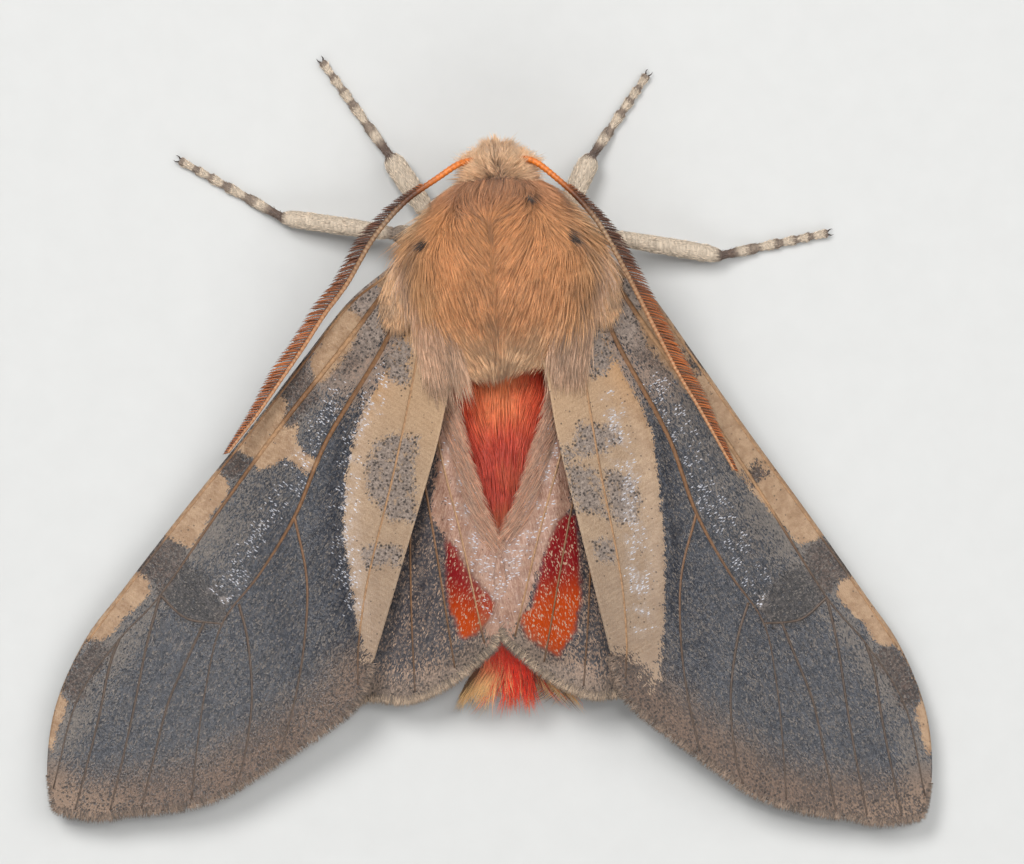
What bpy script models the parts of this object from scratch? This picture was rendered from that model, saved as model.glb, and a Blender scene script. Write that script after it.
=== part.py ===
"""Glassy-wing tiger moth at rest on a flat floor, life size, with each body part as its own solid.

Every number below is in millimetres in the body frame: x to the moth's right, y towards its head and
z up from the floor, with x = 0 on the midline and y = 0 under the middle of the thorax. ORIGIN_SHIFT
moves the whole moth so that the origin lies in the middle of its footprint.
"""

import math
import random

import bmesh
import bpy
import numpy as np
from mathutils import Vector
from mathutils.geometry import delaunay_2d_cdt

MM = 0.001
GAP = 0.3
ORIGIN_SHIFT = (1.6, 8.7)
SIDES = {"left": -1, "right": 1}

# Cores of the body, as stations of (y, half width, centre height, half height), front to back. The
# coat's locks stand about as far again above a core as the core stands above the flesh.
HEAD = (
    (6.15, 0.5, 4.4, 0.7),
    (5.9, 0.9, 4.4, 1.2),
    (5.4, 1.2, 4.5, 1.6),
    (4.9, 1.35, 4.55, 1.7),
    (4.6, 1.3, 4.6, 1.65),
)
THORAX = (
    (4.2, 2.2, 4.9, 2.1),
    (3.3, 3.2, 5.1, 2.7),
    (2.2, 4.1, 5.3, 3.1),
    (0.8, 4.6, 5.35, 3.3),
    (-0.8, 4.6, 5.4, 3.3),
    (-2.2, 4.15, 5.3, 3.1),
    (-3.4, 3.5, 5.1, 2.7),
    (-4.4, 2.8, 4.8, 2.2),
)
ABDOMEN = (
    (-4.75, 2.7, 3.7, 1.9),
    (-6.5, 3.3, 3.35, 2.25),
    (-10.0, 3.45, 3.2, 2.4),
    (-14.0, 3.25, 3.0, 2.3),
    (-16.8, 2.8, 2.75, 1.95),
    (-18.6, 2.35, 2.45, 1.4),
    (-19.8, 1.9, 2.2, 0.7),
)
BODY_SIDES = 16

# Locks of the coat. A row is (y of the roots, first angle, last angle, number, length, outward turn):
# angles go round the core from its right side (0) over the back (90), and the turn is in degrees of
# lie away from the midline. A lock lies towards the tail, or towards the face where FORWARD says so.
THORAX_ROWS = (
    (3.9, 10, 170, 7, 2.2, 18),
    (2.6, -8, 188, 9, 2.6, 22),
    (1.1, -14, 194, 10, 2.9, 20),
    (-0.5, -10, 190, 10, 3.1, 14),
    (-2.1, 2, 178, 9, 3.2, 6),
    (-2.7, 36, 56, 3, 4.1, 2),
    (-2.7, 124, 144, 3, 4.1, 2),
    (-3.5, 22, 158, 7, 2.5, -4),
    (3.2, 222, 318, 3, 1.8, 4),
    (0.4, 232, 308, 3, 2.2, 4),
    (-2.2, 228, 312, 4, 2.0, 4),
)
HEAD_ROWS = (
    (4.75, 40, 140, 4, 1.5, 8),
    (5.1, 14, 166, 6, 1.4, 12),
    (5.6, 36, 144, 4, 1.15, 10),
    (5.7, 214, 326, 4, 0.9, 6),
)
BACK_ROWS = (
    (-5.2, 48, 132, 5, 3.4, -4),
    (-7.4, 56, 124, 4, 3.2, -6),
    (-9.6, 66, 114, 3, 3.0, -6),
)
TAIL_ROWS = (
    (-17.4, 12, 168, 7, 2.9, 0),
    (-18.6, -14, 194, 8, 3.1, 2),
    (-18.8, 220, 320, 4, 2.8, 0),
    (-19.3, 50, 130, 3, 3.0, 0),
)
LOCK_WIDTH = 1.3
LOCK_THICKNESS = 0.52
LOCK_ROOT_DEPTH = 0.45
LOCK_LIFT = {"head": 0.78, "thorax": 0.72, "back": 0.14, "tail": 0.85}
LOCK_SIZE = {"head": 0.72, "thorax": 1.0, "back": 0.75, "tail": 0.72}
LOCK_STATIONS = (0.0, 0.35, 0.72, 1.0)
LOCK_SEED = 11

EYE_CENTRE = (0.98, 5.35, 3.9)
EYE_RADIUS = 0.88
PALP_PATH = ((0.5, 5.3, 3.1), (0.52, 6.1, 2.75), (0.5, 6.75, 3.05))
PALP_RADII = (0.34, 0.34, 0.2)

# Wings. u runs from the root to the apex and v from the leading edge towards the body.
WING_THICKNESS = 0.55
RIDGE_HEIGHT = 0.15
RIDGE_HALF_WIDTH = 0.28
OUTLINE_STEP = 1.4
VEIN_STEP = 2.2
FILL_STEP = 2.4

FOREWING_ROOT = (5.3, 0.5)
FOREWING_SWEEP = {"left": 33.7, "right": 26.7}
FOREWING_COSTA = (
    (-1.6, 1.2), (-0.9, 0.3), (0.5, -0.2), (2.9, -1.0), (6.5, -1.45), (11.0, -1.95), (16.0, -2.6),
    (21.0, -3.15), (24.2, -3.45), (27.7, -3.0), (30.6, -1.75), (32.3, -0.3),
)
FOREWING_OUTER = (
    (32.3, -0.3), (32.4, 0.7), (31.5, 1.75), (30.4, 3.0), (29.4, 4.4), (27.5, 6.3), (25.3, 7.5), (22.2, 8.95),
    (20.2, 9.75), (18.9, 9.8),
)
FOREWING_DORSUM = (
    (18.9, 9.8), (16.5, 9.2), (12.0, 8.0), (7.0, 6.65), (4.0, 5.65), (2.0, 5.2), (0.0, 4.6), (-1.6, 1.2),
)
FOREWING_VEINS = {
    "radius": (
        (0.5, 0.4), (4.6, 0.0), (9.4, -0.6), (14.5, -1.05), (20.3, -1.4), (23.3, -2.0), (27.0, -2.2),
        (31.4, -0.9),
    ),
    "radius_4": ((23.3, -2.0), (24.7, -1.7), (27.5, -0.7), (31.7, 0.6)),
    "radius_5": ((20.3, -1.4), (22.7, -0.7), (25.7, 0.4), (28.3, 1.3), (30.8, 2.1)),
    "cell_end": ((20.3, -1.4), (20.6, 0.3), (19.9, 2.0)),
    "media_1": ((20.3, 1.2), (22.0, 1.4), (24.6, 1.75), (27.4, 2.6), (29.9, 3.4)),
    "cubitus": (
        (0.6, 1.3), (4.1, 1.7), (9.3, 1.7), (13.3, 2.3), (16.8, 2.3), (19.9, 2.0), (23.1, 3.0), (26.1, 4.3),
        (28.2, 5.3),
    ),
    "cubitus_1": ((18.6, 2.2), (20.0, 3.6), (22.4, 5.3), (25.1, 6.5), (26.4, 6.8)),
    "cubitus_2": ((13.4, 2.3), (15.8, 4.5), (18.7, 6.1), (21.5, 7.2), (23.9, 7.9)),
    "anal": ((0.8, 2.4), (5.5, 4.2), (9.2, 5.5), (14.2, 7.1), (17.2, 8.4), (18.9, 9.4)),
}

HINDWING_ROOT = (3.8, -1.5)
HINDWING_SWEEP = {"left": 17.6, "right": 12.2}
HINDWING_COSTA = ((-0.6, -0.2), (3.0, -0.9), (7.0, -1.9), (12.0, -2.6), (17.0, -2.4), (20.2, -1.4))
HINDWING_OUTER = (
    (20.2, -1.4), (20.9, -0.2), (20.5, 1.3), (19.8, 2.7), (19.5, 4.3), (18.3, 5.9), (16.7, 7.15), (15.2, 7.9),
)
HINDWING_DORSUM = (
    (15.2, 7.9), (12.6, 7.6), (10.9, 6.8), (9.4, 5.6), (7.1, 4.1), (4.0, 2.4), (1.5, 1.4), (-0.4, 0.7),
    (-0.6, -0.2),
)
HINDWING_VEINS = {
    "radial": ((0.6, 0.2), (5.0, -0.7), (10.0, -1.2), (15.0, -1.2), (20.2, -0.3)),
    "media": ((5.0, -0.7), (10.0, 0.3), (15.0, 1.2), (19.7, 2.2)),
    "cubitus_1": ((0.6, 0.6), (6.0, 1.0), (11.0, 2.2), (15.5, 3.5), (18.9, 4.6)),
    "cubitus_2": ((6.0, 1.0), (11.0, 3.4), (17.2, 6.2)),
    "anal": ((0.8, 0.6), (6.0, 2.2), (11.0, 4.9), (15.6, 7.3)),
}

# Heights of the wings: the hindwings drape over the abdomen and the forewings lie on them.
DRAPE_LOW = 1.1
DRAPE_SPREAD = 6.5
DRAPE_CLEARANCE = 0.85
STACK_SPARE = 0.08
WING_STACK = WING_THICKNESS + RIDGE_HEIGHT + GAP + STACK_SPARE
ROOM_ABOVE = 1.0
COSTA_LOW = 1.0
COSTA_RISE = 3.6
COSTA_FALL = 6.5
ROOF_SLOPE = 0.13
ROOF_START = 3.0
ROOF_BLEND = 0.7
STACK_REACH = (10.6, 14.6)

# Antennae: (x, y, z) along the shaft from the head to the tip.
ANTENNAE = {
    "left": (
        (-1.0, 5.5, 5.3), (-1.9, 5.3, 5.9), (-2.9, 4.7, 6.0), (-4.7, 3.5, 5.8), (-6.3, 1.8, 5.5),
        (-7.7, -0.4, 5.0), (-8.9, -1.9, 4.5), (-10.1, -3.6, 4.1), (-11.3, -5.2, 3.85), (-12.5, -6.8, 3.65),
        (-14.0, -8.6, 3.45),
    ),
    "right": (
        (0.9, 5.5, 5.3), (1.8, 5.3, 5.9), (2.8, 4.5, 6.2), (3.9, 3.4, 6.4), (4.9, 2.1, 6.35), (5.8, 0.4, 6.2),
        (6.9, -1.9, 5.3), (8.5, -5.3, 4.45), (9.6, -7.3, 4.1), (11.2, -10.4, 3.7),
    ),
}
ANTENNA_RADIUS = 0.3
ANTENNA_TIP_RADIUS = 0.14
ANTENNA_SIDES = 6
ANTENNA_STEP = 0.95
COMB_START = 0.17
COMB_PITCH = 0.68
COMB_REACH = 0.95
COMB_ROOT = 0.5
COMB_SLANT = 0.75

# Legs: joints from the body to the tip of the foot, then the radius of each length.
LEGS = {
    "leg_fore_left": (
        (-1.2, 2.6, 2.6), (-1.0, 4.7, 1.35), (-3.5, 2.9, 1.75), (-5.35, 5.9, 0.85), (-8.65, 10.9, 0.2),
    ),
    "leg_fore_right": (
        (1.2, 2.6, 2.6), (1.0, 4.7, 1.35), (3.1, 2.5, 1.75), (4.7, 5.5, 0.85), (7.7, 9.6, 0.2),
    ),
    "leg_mid_left": (
        (-1.8, 0.6, 2.6), (-2.1, 1.3, 1.4), (-5.3, 2.05, 2.3), (-10.9, 3.1, 0.8), (-16.0, 6.2, 0.2),
    ),
    "leg_mid_right": (
        (1.8, 0.6, 2.6), (2.1, 1.3, 1.4), (5.4, 1.5, 2.3), (11.0, 0.35, 0.8), (16.5, 1.3, 0.2),
    ),
    "leg_hind_left": (
        (-1.8, -2.0, 2.6), (-2.2, -1.3, 1.4), (-5.2, -0.9, 2.3), (-6.6, -6.6, 0.8), (-6.4, -12.6, 0.2),
    ),
    "leg_hind_right": (
        (1.8, -2.0, 2.6), (2.2, -1.3, 1.4), (5.2, -0.9, 2.3), (6.0, -6.6, 0.8), (5.4, -12.6, 0.2),
    ),
}
LEG_SIDES = 8
COXA_RADII = (0.75, 0.6)
FEMUR_RADII = (0.5, 0.55)
TIBIA_RADII = {"fore": (0.45, 0.54), "mid": (0.4, 0.45), "hind": (0.4, 0.45)}
TARSUS_RADIUS = 0.32
TARSUS_JOINTS = (0.0, 0.36, 0.56, 0.71, 0.84, 1.0)
SOLE_HEIGHT = 0.24
CLAW_LENGTH = 0.5
CLAW_RADIUS = 0.2
CLAW_SPREAD = 0.45
SPUR_LENGTH = 1.0
SPUR_RADIUS = 0.24
SPUR_SHARES = {"fore": (), "mid": (0.97,), "hind": (0.6, 0.97)}

COLOURS = {
    "head": (0.80, 0.62, 0.40),
    "thorax": (0.62, 0.40, 0.22),
    "abdomen": (0.78, 0.16, 0.05),
    "eye": (0.03, 0.02, 0.02),
    "palp": (0.70, 0.52, 0.34),
    "antenna": (0.42, 0.20, 0.08),
    "forewing": (0.36, 0.32, 0.29),
    "hindwing": (0.55, 0.44, 0.36),
    "leg": (0.70, 0.60, 0.48),
}


def clear_scene():
    for thing in list(bpy.data.objects):
        bpy.data.objects.remove(thing)


def material(kind):
    """The one material of a kind of part, made on first use."""
    found = bpy.data.materials.get(kind)
    if found:
        return found
    made = bpy.data.materials.new(kind)
    made.use_nodes = True
    shader = made.node_tree.nodes["Principled BSDF"]
    shader.inputs["Base Color"].default_value = (*COLOURS[kind], 1.0)
    shader.inputs["Roughness"].default_value = 0.15 if kind == "eye" else 0.75
    return made


def solid(name, points, faces, kind):
    """A mesh object from points in millimetres."""
    mesh = bpy.data.meshes.new(name)
    mesh.from_pydata([Vector(point) * MM for point in points], [], faces)
    mesh.materials.append(material(kind))
    made = bpy.data.objects.new(name, mesh)
    bpy.context.scene.collection.objects.link(made)
    return made


def smooth_curve(points, step):
    """Points about one step apart on a Catmull-Rom curve through the given ones."""
    knots = [Vector(point) for point in points]
    ends = [2 * knots[0] - knots[1], *knots, 2 * knots[-1] - knots[-2]]
    made = []
    for before, start, finish, after in zip(ends, ends[1:], ends[2:], ends[3:]):
        pieces = max(1, round((finish - start).length / step))
        for index in range(pieces):
            t = index / pieces
            made.append(
                0.5
                * (
                    2 * start
                    + (finish - before) * t
                    + (2 * before - 5 * start + 4 * finish - after) * t * t
                    + (3 * start - before - 3 * finish + after) * t**3
                )
            )
    return [*made, knots[-1]]


def ring_faces(rings, sides):
    """Faces of a closed tube through rings of points, with a flat cap at each end."""
    faces = [tuple(reversed(range(sides)))]
    for ring in range(rings - 1):
        for side in range(sides):
            a = ring * sides + side
            b = ring * sides + (side + 1) % sides
            faces.append((a, b, b + sides, a + sides))
    faces.append(tuple(range((rings - 1) * sides, rings * sides)))
    return faces


def body_points(stations, grow=0.0):
    """Elliptical rings front to back. grow makes the form larger all round, ends included."""
    points = []
    for index, (y, half_width, centre, half_height) in enumerate(stations):
        end = grow if index == 0 else -grow if index == len(stations) - 1 else 0.0
        for side in range(BODY_SIDES):
            angle = 2 * math.pi * side / BODY_SIDES
            x = (half_width + grow) * math.cos(angle)
            z = centre + (half_height + grow) * math.sin(angle)
            points.append((x, y + end, z))
    return points


def body_form(name, stations, kind, grow=0.0):
    faces = ring_faces(len(stations), BODY_SIDES)
    return solid(name, body_points(stations, grow), faces, kind)


def tube_rings(path, radii, sides, floor=None):
    """Rings square to a path. A ring is kept at or above the floor, which gives a foot its flat sole."""
    points = []
    path = [Vector(point) for point in path]
    across = None
    for index, centre in enumerate(path):
        ahead = path[min(index + 1, len(path) - 1)] - path[max(index - 1, 0)]
        ahead.normalize()
        if across is None:
            across = ahead.cross(Vector((0, 0, 1))).normalized()
        across = (across - ahead * across.dot(ahead)).normalized()
        up = across.cross(ahead)
        for side in range(sides):
            angle = 2 * math.pi * side / sides
            point = centre + radii[index] * (across * math.cos(angle) + up * math.sin(angle))
            if floor is not None:
                point.z = max(point.z, floor)
            points.append(point)
    return points


def tube(name, path, radii, sides, kind, floor=None):
    points = tube_rings(path, radii, sides, floor)
    made = solid(name, points, ring_faces(len(path), sides), kind)
    face_out(made)
    return made


def face_out(thing):
    """Turns every face of a closed mesh outwards."""
    work = bmesh.new()
    work.from_mesh(thing.data)
    bmesh.ops.recalc_face_normals(work, faces=work.faces)
    if work.calc_volume(signed=True) < 0:
        bmesh.ops.reverse_faces(work, faces=work.faces)
    work.to_mesh(thing.data)
    work.free()


def rounded_length(name, start, finish, radii, kind):
    """A limb length between two joints: a tapered tube with rounded ends."""
    start, finish = Vector(start), Vector(finish)
    along = (finish - start).normalized()
    first, last = radii
    path = [start - along * first * 0.6, start, finish, finish + along * last * 0.6]
    return tube(name, path, (first * 0.6, first, last, last * 0.6), LEG_SIDES, kind)


def spike(name, root, tip, radius, kind):
    """A small four-sided claw or spur."""
    root, tip = Vector(root), Vector(tip)
    return tube(name, [root, root.lerp(tip, 0.6), tip], (radius, radius * 0.7, radius * 0.15), 4, kind)


def apply_boolean(thing, operation, others):
    """Joins or cuts with a collection of closed meshes, which are then removed."""
    group = bpy.data.collections.new(thing.name + "_tools")
    bpy.context.scene.collection.children.link(group)
    for other in others:
        group.objects.link(other)
    modifier = thing.modifiers.new("shape", "BOOLEAN")
    modifier.operation = operation
    modifier.operand_type = "COLLECTION"
    modifier.collection = group
    modifier.solver = "MANIFOLD"
    bpy.context.view_layer.objects.active = thing
    bpy.ops.object.modifier_apply(modifier=modifier.name)
    for other in others:
        bpy.data.objects.remove(other)
    bpy.data.collections.remove(group)


def keep_largest(thing):
    """Drops loose scraps and the linings of sealed hollows."""
    work = bmesh.new()
    work.from_mesh(thing.data)
    bmesh.ops.triangulate(work, faces=work.faces)
    unseen = set(work.verts)
    islands = []
    while unseen:
        front = [unseen.pop()]
        island = set(front)
        while front:
            for edge in front.pop().link_edges:
                for vertex in edge.verts:
                    if vertex in unseen:
                        unseen.discard(vertex)
                        island.add(vertex)
                        front.append(vertex)
        faces = {face for vertex in island for face in vertex.link_faces}
        volume = sum(face.verts[0].co.dot(face.verts[1].co.cross(face.verts[2].co)) for face in faces)
        islands.append((abs(volume), len(islands), island))
    for _, _, island in sorted(islands, reverse=True, key=lambda item: item[:2])[1:]:
        bmesh.ops.delete(work, geom=list(island), context="VERTS")
    work.to_mesh(thing.data)
    work.free()


def stations_at(stations, y):
    """(half width, centre height, half height) of a body form at y."""
    table = np.array(stations)[::-1]
    return tuple(float(np.interp(y, table[:, 0], table[:, column])) for column in (1, 2, 3))


def drape(x, y):
    """Height of a membrane that lies over the abdomen and comes down beside it."""
    half_width, centre, half_height = stations_at(ABDOMEN, y)
    top = centre + half_height + DRAPE_CLEARANCE
    return DRAPE_LOW + (top - DRAPE_LOW) * math.exp(-((x / DRAPE_SPREAD) ** 2))


def forewing_height(x, y, u, v):
    """Height of the forewing: low along its leading edge, and resting on the hindwing near the body."""
    roof = COSTA_LOW + COSTA_RISE * math.exp(-max(u, 0.0) / COSTA_FALL) + ROOF_SLOPE * (v + ROOF_START)
    near, far = STACK_REACH
    beyond = min(1.0, max(0.0, (abs(x) - near) / (far - near)))
    resting = drape(x, y) + WING_STACK * (1 - beyond * beyond * (3 - 2 * beyond))
    return 0.5 * (roof + resting + math.hypot(roof - resting, ROOF_BLEND))


def hindwing_height(x, y, u, v):
    return drape(x, y)


def on_wing(root, sweep, side):
    """The map from wing (u, v) to body (x, y)."""
    sine, cosine = math.sin(math.radians(sweep)), math.cos(math.radians(sweep))

    def place(u, v):
        return side * (root[0] + u * sine - v * cosine), root[1] - u * cosine - v * sine

    return place


def distance_to(point, line):
    """Distance in the plane from a point to a polyline."""
    best = math.inf
    for start, finish in zip(line, line[1:]):
        along = finish - start
        t = max(0.0, min(1.0, (point - start).dot(along) / along.length_squared))
        best = min(best, (point - start - along * t).length)
    return best


def beside(line, offset):
    """A polyline moved sideways."""
    moved = []
    for index, point in enumerate(line):
        ahead = line[min(index + 1, len(line) - 1)] - line[max(index - 1, 0)]
        moved.append(point + Vector((-ahead.y, ahead.x)).normalized() * offset)
    return moved


def inside(point, outline):
    """Whether a point is inside a closed outline."""
    crossings = 0
    for start, finish in zip(outline, [*outline[1:], outline[0]]):
        if (start.y > point.y) != (finish.y > point.y):
            reach = start.x + (point.y - start.y) / (finish.y - start.y) * (finish.x - start.x)
            crossings += point.x < reach
    return crossings % 2 == 1


def wing_outline(margins, grow=0.0):
    """The closed outline of a wing's plan, root first. grow moves it outwards."""
    outline = []
    for margin in margins:
        outline += smooth_curve(margin, OUTLINE_STEP)[:-1]
    if grow:
        outline = beside([outline[-1], *outline, outline[0]], -grow)[1:-1]
    return outline


def fill_points(outline, lines):
    """Points that fill the plan evenly between its veins and its margin."""
    corner = Vector((min(p.x for p in outline), min(p.y for p in outline)))
    columns = int((max(p.x for p in outline) - corner.x) / FILL_STEP)
    rows = int((max(p.y for p in outline) - corner.y) / FILL_STEP)
    closed = [*outline, outline[0]]
    made = []
    for column in range(columns + 1):
        for row in range(rows + 1):
            point = corner + Vector((column + 0.5 * (row % 2), row + 0.5)) * FILL_STEP
            nearest = min(distance_to(point, line) for line in [closed, *lines])
            if nearest > 0.45 * FILL_STEP and inside(point, outline):
                made.append(point)
    return made


def wing_plan(margins, veins, grow=0.0):
    """The wing's flat plan: points, triangles and how far the veins raise each point."""
    outline = wing_outline(margins, grow)
    points = list(outline)
    edges = [(index, (index + 1) % len(outline)) for index in range(len(outline))]
    lines = [smooth_curve(vein, VEIN_STEP) for vein in veins.values()]
    for line in lines:
        for run in (line, beside(line, RIDGE_HALF_WIDTH), beside(line, -RIDGE_HALF_WIDTH)):
            start = len(points)
            points += run
            edges += [(start + index, start + index + 1) for index in range(len(run) - 1)]
    points += fill_points(outline, lines)
    found = delaunay_2d_cdt(points, edges, [list(range(len(outline)))], 1, 0.02, False)
    corners, triangles = found[0], found[2]
    raised = []
    for corner in corners:
        near = min((distance_to(corner, line) for line in lines), default=math.inf)
        raised.append(RIDGE_HEIGHT * max(0.0, 1 - near / RIDGE_HALF_WIDTH))
    return corners, triangles, raised


def membrane(name, plan, place, height, kind, grow=0.0):
    """A wing: one plan of triangles used alike for its upper and lower faces."""
    corners, triangles, raised = plan
    upper, lower = [], []
    for corner, ridge in zip(corners, raised):
        x, y = place(corner.x, corner.y)
        middle = height(x, y, corner.x, corner.y)
        upper.append((x, y, middle + WING_THICKNESS / 2 + ridge + grow))
        lower.append((x, y, middle - WING_THICKNESS / 2 - grow))
    count = len(corners)
    faces = [tuple(triangle) for triangle in triangles]
    once = set()
    for a, b, c in faces:
        for edge in ((a, b), (b, c), (c, a)):
            once.symmetric_difference_update({tuple(sorted(edge))})
    sides = []
    for a, b, c in faces:
        for start, finish in ((a, b), (b, c), (c, a)):
            if tuple(sorted((start, finish))) in once:
                sides.append((finish, start, start + count, finish + count))
    under = [(c + count, b + count, a + count) for a, b, c in faces]
    made = solid(name, upper + lower, faces + under + sides, kind)
    face_out(made)
    return made


def wing_rooms():
    """The space of each wing with the gap round it, to cut the coat clear."""
    made = []
    fore_plan = wing_plan((FOREWING_COSTA, FOREWING_OUTER, FOREWING_DORSUM), {}, GAP)
    hind_plan = wing_plan((HINDWING_COSTA, HINDWING_OUTER, HINDWING_DORSUM), {}, GAP)
    grow = RIDGE_HEIGHT + GAP
    for side, sign in SIDES.items():
        place = on_wing(FOREWING_ROOT, FOREWING_SWEEP[side], sign)
        made.append(membrane("forewing_room", fore_plan, place, forewing_height, "forewing", grow))
        place = on_wing(HINDWING_ROOT, HINDWING_SWEEP[side], sign)
        made.append(membrane("hindwing_room", hind_plan, place, hindwing_height, "hindwing", grow))
    return made


def make_wings():
    """Both pairs, each cut clear of the thorax, and the left hindwing cut clear of the right one."""
    fore_plan = wing_plan((FOREWING_COSTA, FOREWING_OUTER, FOREWING_DORSUM), FOREWING_VEINS)
    hind_plan = wing_plan((HINDWING_COSTA, HINDWING_OUTER, HINDWING_DORSUM), HINDWING_VEINS)
    made = {}
    for side, sign in SIDES.items():
        place = on_wing(FOREWING_ROOT, FOREWING_SWEEP[side], sign)
        name = "forewing_" + side
        made[name] = membrane(name, fore_plan, place, forewing_height, "forewing")
        place = on_wing(HINDWING_ROOT, HINDWING_SWEEP[side], sign)
        name = "hindwing_" + side
        made[name] = membrane(name, hind_plan, place, hindwing_height, "hindwing")
    over = on_wing(HINDWING_ROOT, HINDWING_SWEEP["right"], 1)

    def shifted(u, v):
        x, y = over(u, v)
        return x - GAP, y

    room = membrane("right_hindwing_room", hind_plan, shifted, hindwing_height, "hindwing", ROOM_ABOVE)
    apply_boolean(made["hindwing_left"], "DIFFERENCE", [room])
    for wing in made.values():
        apply_boolean(wing, "DIFFERENCE", [body_form("thorax_room", THORAX, "thorax", GAP)])
        keep_largest(wing)


def blade(name, path, ups, half_widths, half_thicknesses, kind):
    """A flat tapered form along a path: a diamond section at each point but the last, which is its tip."""
    path = [Vector(point) for point in path]
    points, faces = [], [(3, 2, 1, 0)]
    for index, centre in enumerate(path[:-1]):
        ahead = (path[index + 1] - path[max(index - 1, 0)]).normalized()
        across = ahead.cross(ups[index]).normalized()
        over = across.cross(ahead)
        beyond, above = across * half_widths[index], over * half_thicknesses[index]
        points += [centre + beyond, centre + above, centre - beyond, centre - above]
    points.append(path[-1])
    tip = len(points) - 1
    for ring in range(len(path) - 2):
        for corner in range(4):
            low, high = ring * 4 + corner, ring * 4 + (corner + 1) % 4
            faces.append((low, high, high + 4, low + 4))
    for corner in range(4):
        faces.append((tip - 4 + corner, tip - 4 + (corner + 1) % 4, tip))
    made = solid(name, points, faces, kind)
    face_out(made)
    return made


def core_frame(stations, y, angle):
    """A point on a core, its outward direction across the body, and the core's size round there."""
    half_width, centre, half_height = stations_at(stations, y)
    cosine, sine = math.cos(angle), math.sin(angle)
    point = Vector((half_width * cosine, y, centre + half_height * sine))
    out = Vector((cosine / half_width, 0, sine / half_height)).normalized()
    return point, out, math.hypot(half_width * sine, half_height * cosine)


def coat_lock(stations, y, angle, length, turn, forward, lift, size, draw):
    """One lock: rooted in the core, lying along it and leaving it towards the tip."""
    angle = math.radians(angle + draw.uniform(-3, 3))
    y += draw.uniform(-0.2, 0.2)
    length *= draw.uniform(0.88, 1.12)
    turn = math.radians(turn + draw.uniform(-7, 7))
    midline = math.pi / 2 if math.sin(angle) > -0.2 else 1.5 * math.pi
    off_middle = math.sin(angle - midline)
    side = math.copysign(min(1.0, abs(off_middle) * 3), off_middle)
    bend = draw.uniform(-0.12, 0.12) * length
    path, ups = [], []
    for share in LOCK_STATIONS:
        run = length * share
        sideways = run * math.sin(turn) * side + bend * math.sin(math.pi * share)
        here = y + run * math.cos(turn) * (1 if forward else -1)
        around = core_frame(stations, here, angle)[2]
        point, out, _ = core_frame(stations, here, angle + sideways / around)
        path.append(point + out * (-LOCK_ROOT_DEPTH + (LOCK_ROOT_DEPTH + lift) * share**0.6))
        ups.append(out)
    wide = LOCK_WIDTH / 2 * size * draw.uniform(0.88, 1.12)
    thick = LOCK_THICKNESS / 2
    widths = [wide * share for share in (0.7, 1.0, 0.72)]
    return blade("lock", path, ups, widths, [thick, thick, 0.7 * thick], "thorax")


def coat(stations, rows, zone, forward, draw):
    """All locks of some rows."""
    made = []
    for y, first, last, number, length, turn in rows:
        for index in range(number):
            angle = first + (last - first) * index / (number - 1)
            made.append(
                coat_lock(stations, y, angle, length, turn, forward, LOCK_LIFT[zone], LOCK_SIZE[zone], draw)
            )
    return made


def coated_form(name, stations, locks, rooms):
    """A core with its coat: the locks are cut clear of the neighbours and then fused with the core."""
    fur = locks[0]
    apply_boolean(fur, "UNION", locks[1:])
    apply_boolean(fur, "DIFFERENCE", rooms)
    core = body_form(name, stations, name)
    face_out(core)
    apply_boolean(core, "UNION", [fur])
    keep_largest(core)


def make_antenna(side):
    """A shaft, bare near the head, with a comb of slanting flat teeth along its outer edge."""
    sign = SIDES[side]
    path = smooth_curve(ANTENNAE[side], ANTENNA_STEP)
    taper = (ANTENNA_TIP_RADIUS - ANTENNA_RADIUS) / (len(path) - 1)
    radii = [ANTENNA_RADIUS + taper * index for index in range(len(path))]
    antenna = tube("antenna_" + side, path, radii, ANTENNA_SIDES, "antenna")
    fine = smooth_curve(ANTENNAE[side], COMB_PITCH)
    teeth = []
    for index in range(1, len(fine) - 1):
        along = index / (len(fine) - 1)
        if along < COMB_START:
            continue
        share = (along - COMB_START) / (1 - COMB_START)
        reach = COMB_REACH * min(1.0, 0.45 + 2.2 * share, 0.3 + 2.4 * (1 - share))
        ahead = (fine[index + 1] - fine[index - 1]).normalized()
        outward = Vector((-ahead.y, ahead.x, 0)).normalized()
        outward *= math.copysign(1, outward.x * sign)
        slant = (outward + ahead * COMB_SLANT).normalized()
        root = fine[index]
        up = Vector((0, 0, 1))
        half_root = COMB_ROOT / 2 * (1 - 0.3 * share)
        stations = [root, root + slant * reach * 0.6, root + slant * reach]
        halves = [half_root, half_root * 0.7]
        teeth.append(blade("tooth", stations, [up, up], [0.6 * half for half in halves], halves, "antenna"))
    apply_boolean(antenna, "UNION", teeth)
    apply_boolean(antenna, "DIFFERENCE", [body_form("head_room", HEAD, "head", GAP)])
    keep_largest(antenna)


def antenna_room(side):
    path = smooth_curve(ANTENNAE[side], ANTENNA_STEP)
    radii = [ANTENNA_RADIUS + GAP] * len(path)
    return tube("antenna_room", path, radii, ANTENNA_SIDES, "antenna")


def tarsus(name, start, finish):
    """Five foot joints, each a little wider at its far end, with a flat sole on the floor."""
    start, finish = Vector(start), Vector(finish)
    path, radii = [], []
    for number, (near, far) in enumerate(zip(TARSUS_JOINTS, TARSUS_JOINTS[1:])):
        width = TARSUS_RADIUS * (1 - 0.05 * number)
        for share, flare in ((near + 0.02, 0.8), (far, 1.1)):
            point = start.lerp(finish, share)
            point.z = max(SOLE_HEIGHT, start.z + (SOLE_HEIGHT - start.z) * min(1.0, share / 0.3))
            path.append(point)
            radii.append(width * flare)
    return tube(name, path, radii, LEG_SIDES, "leg", floor=0.0)


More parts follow.
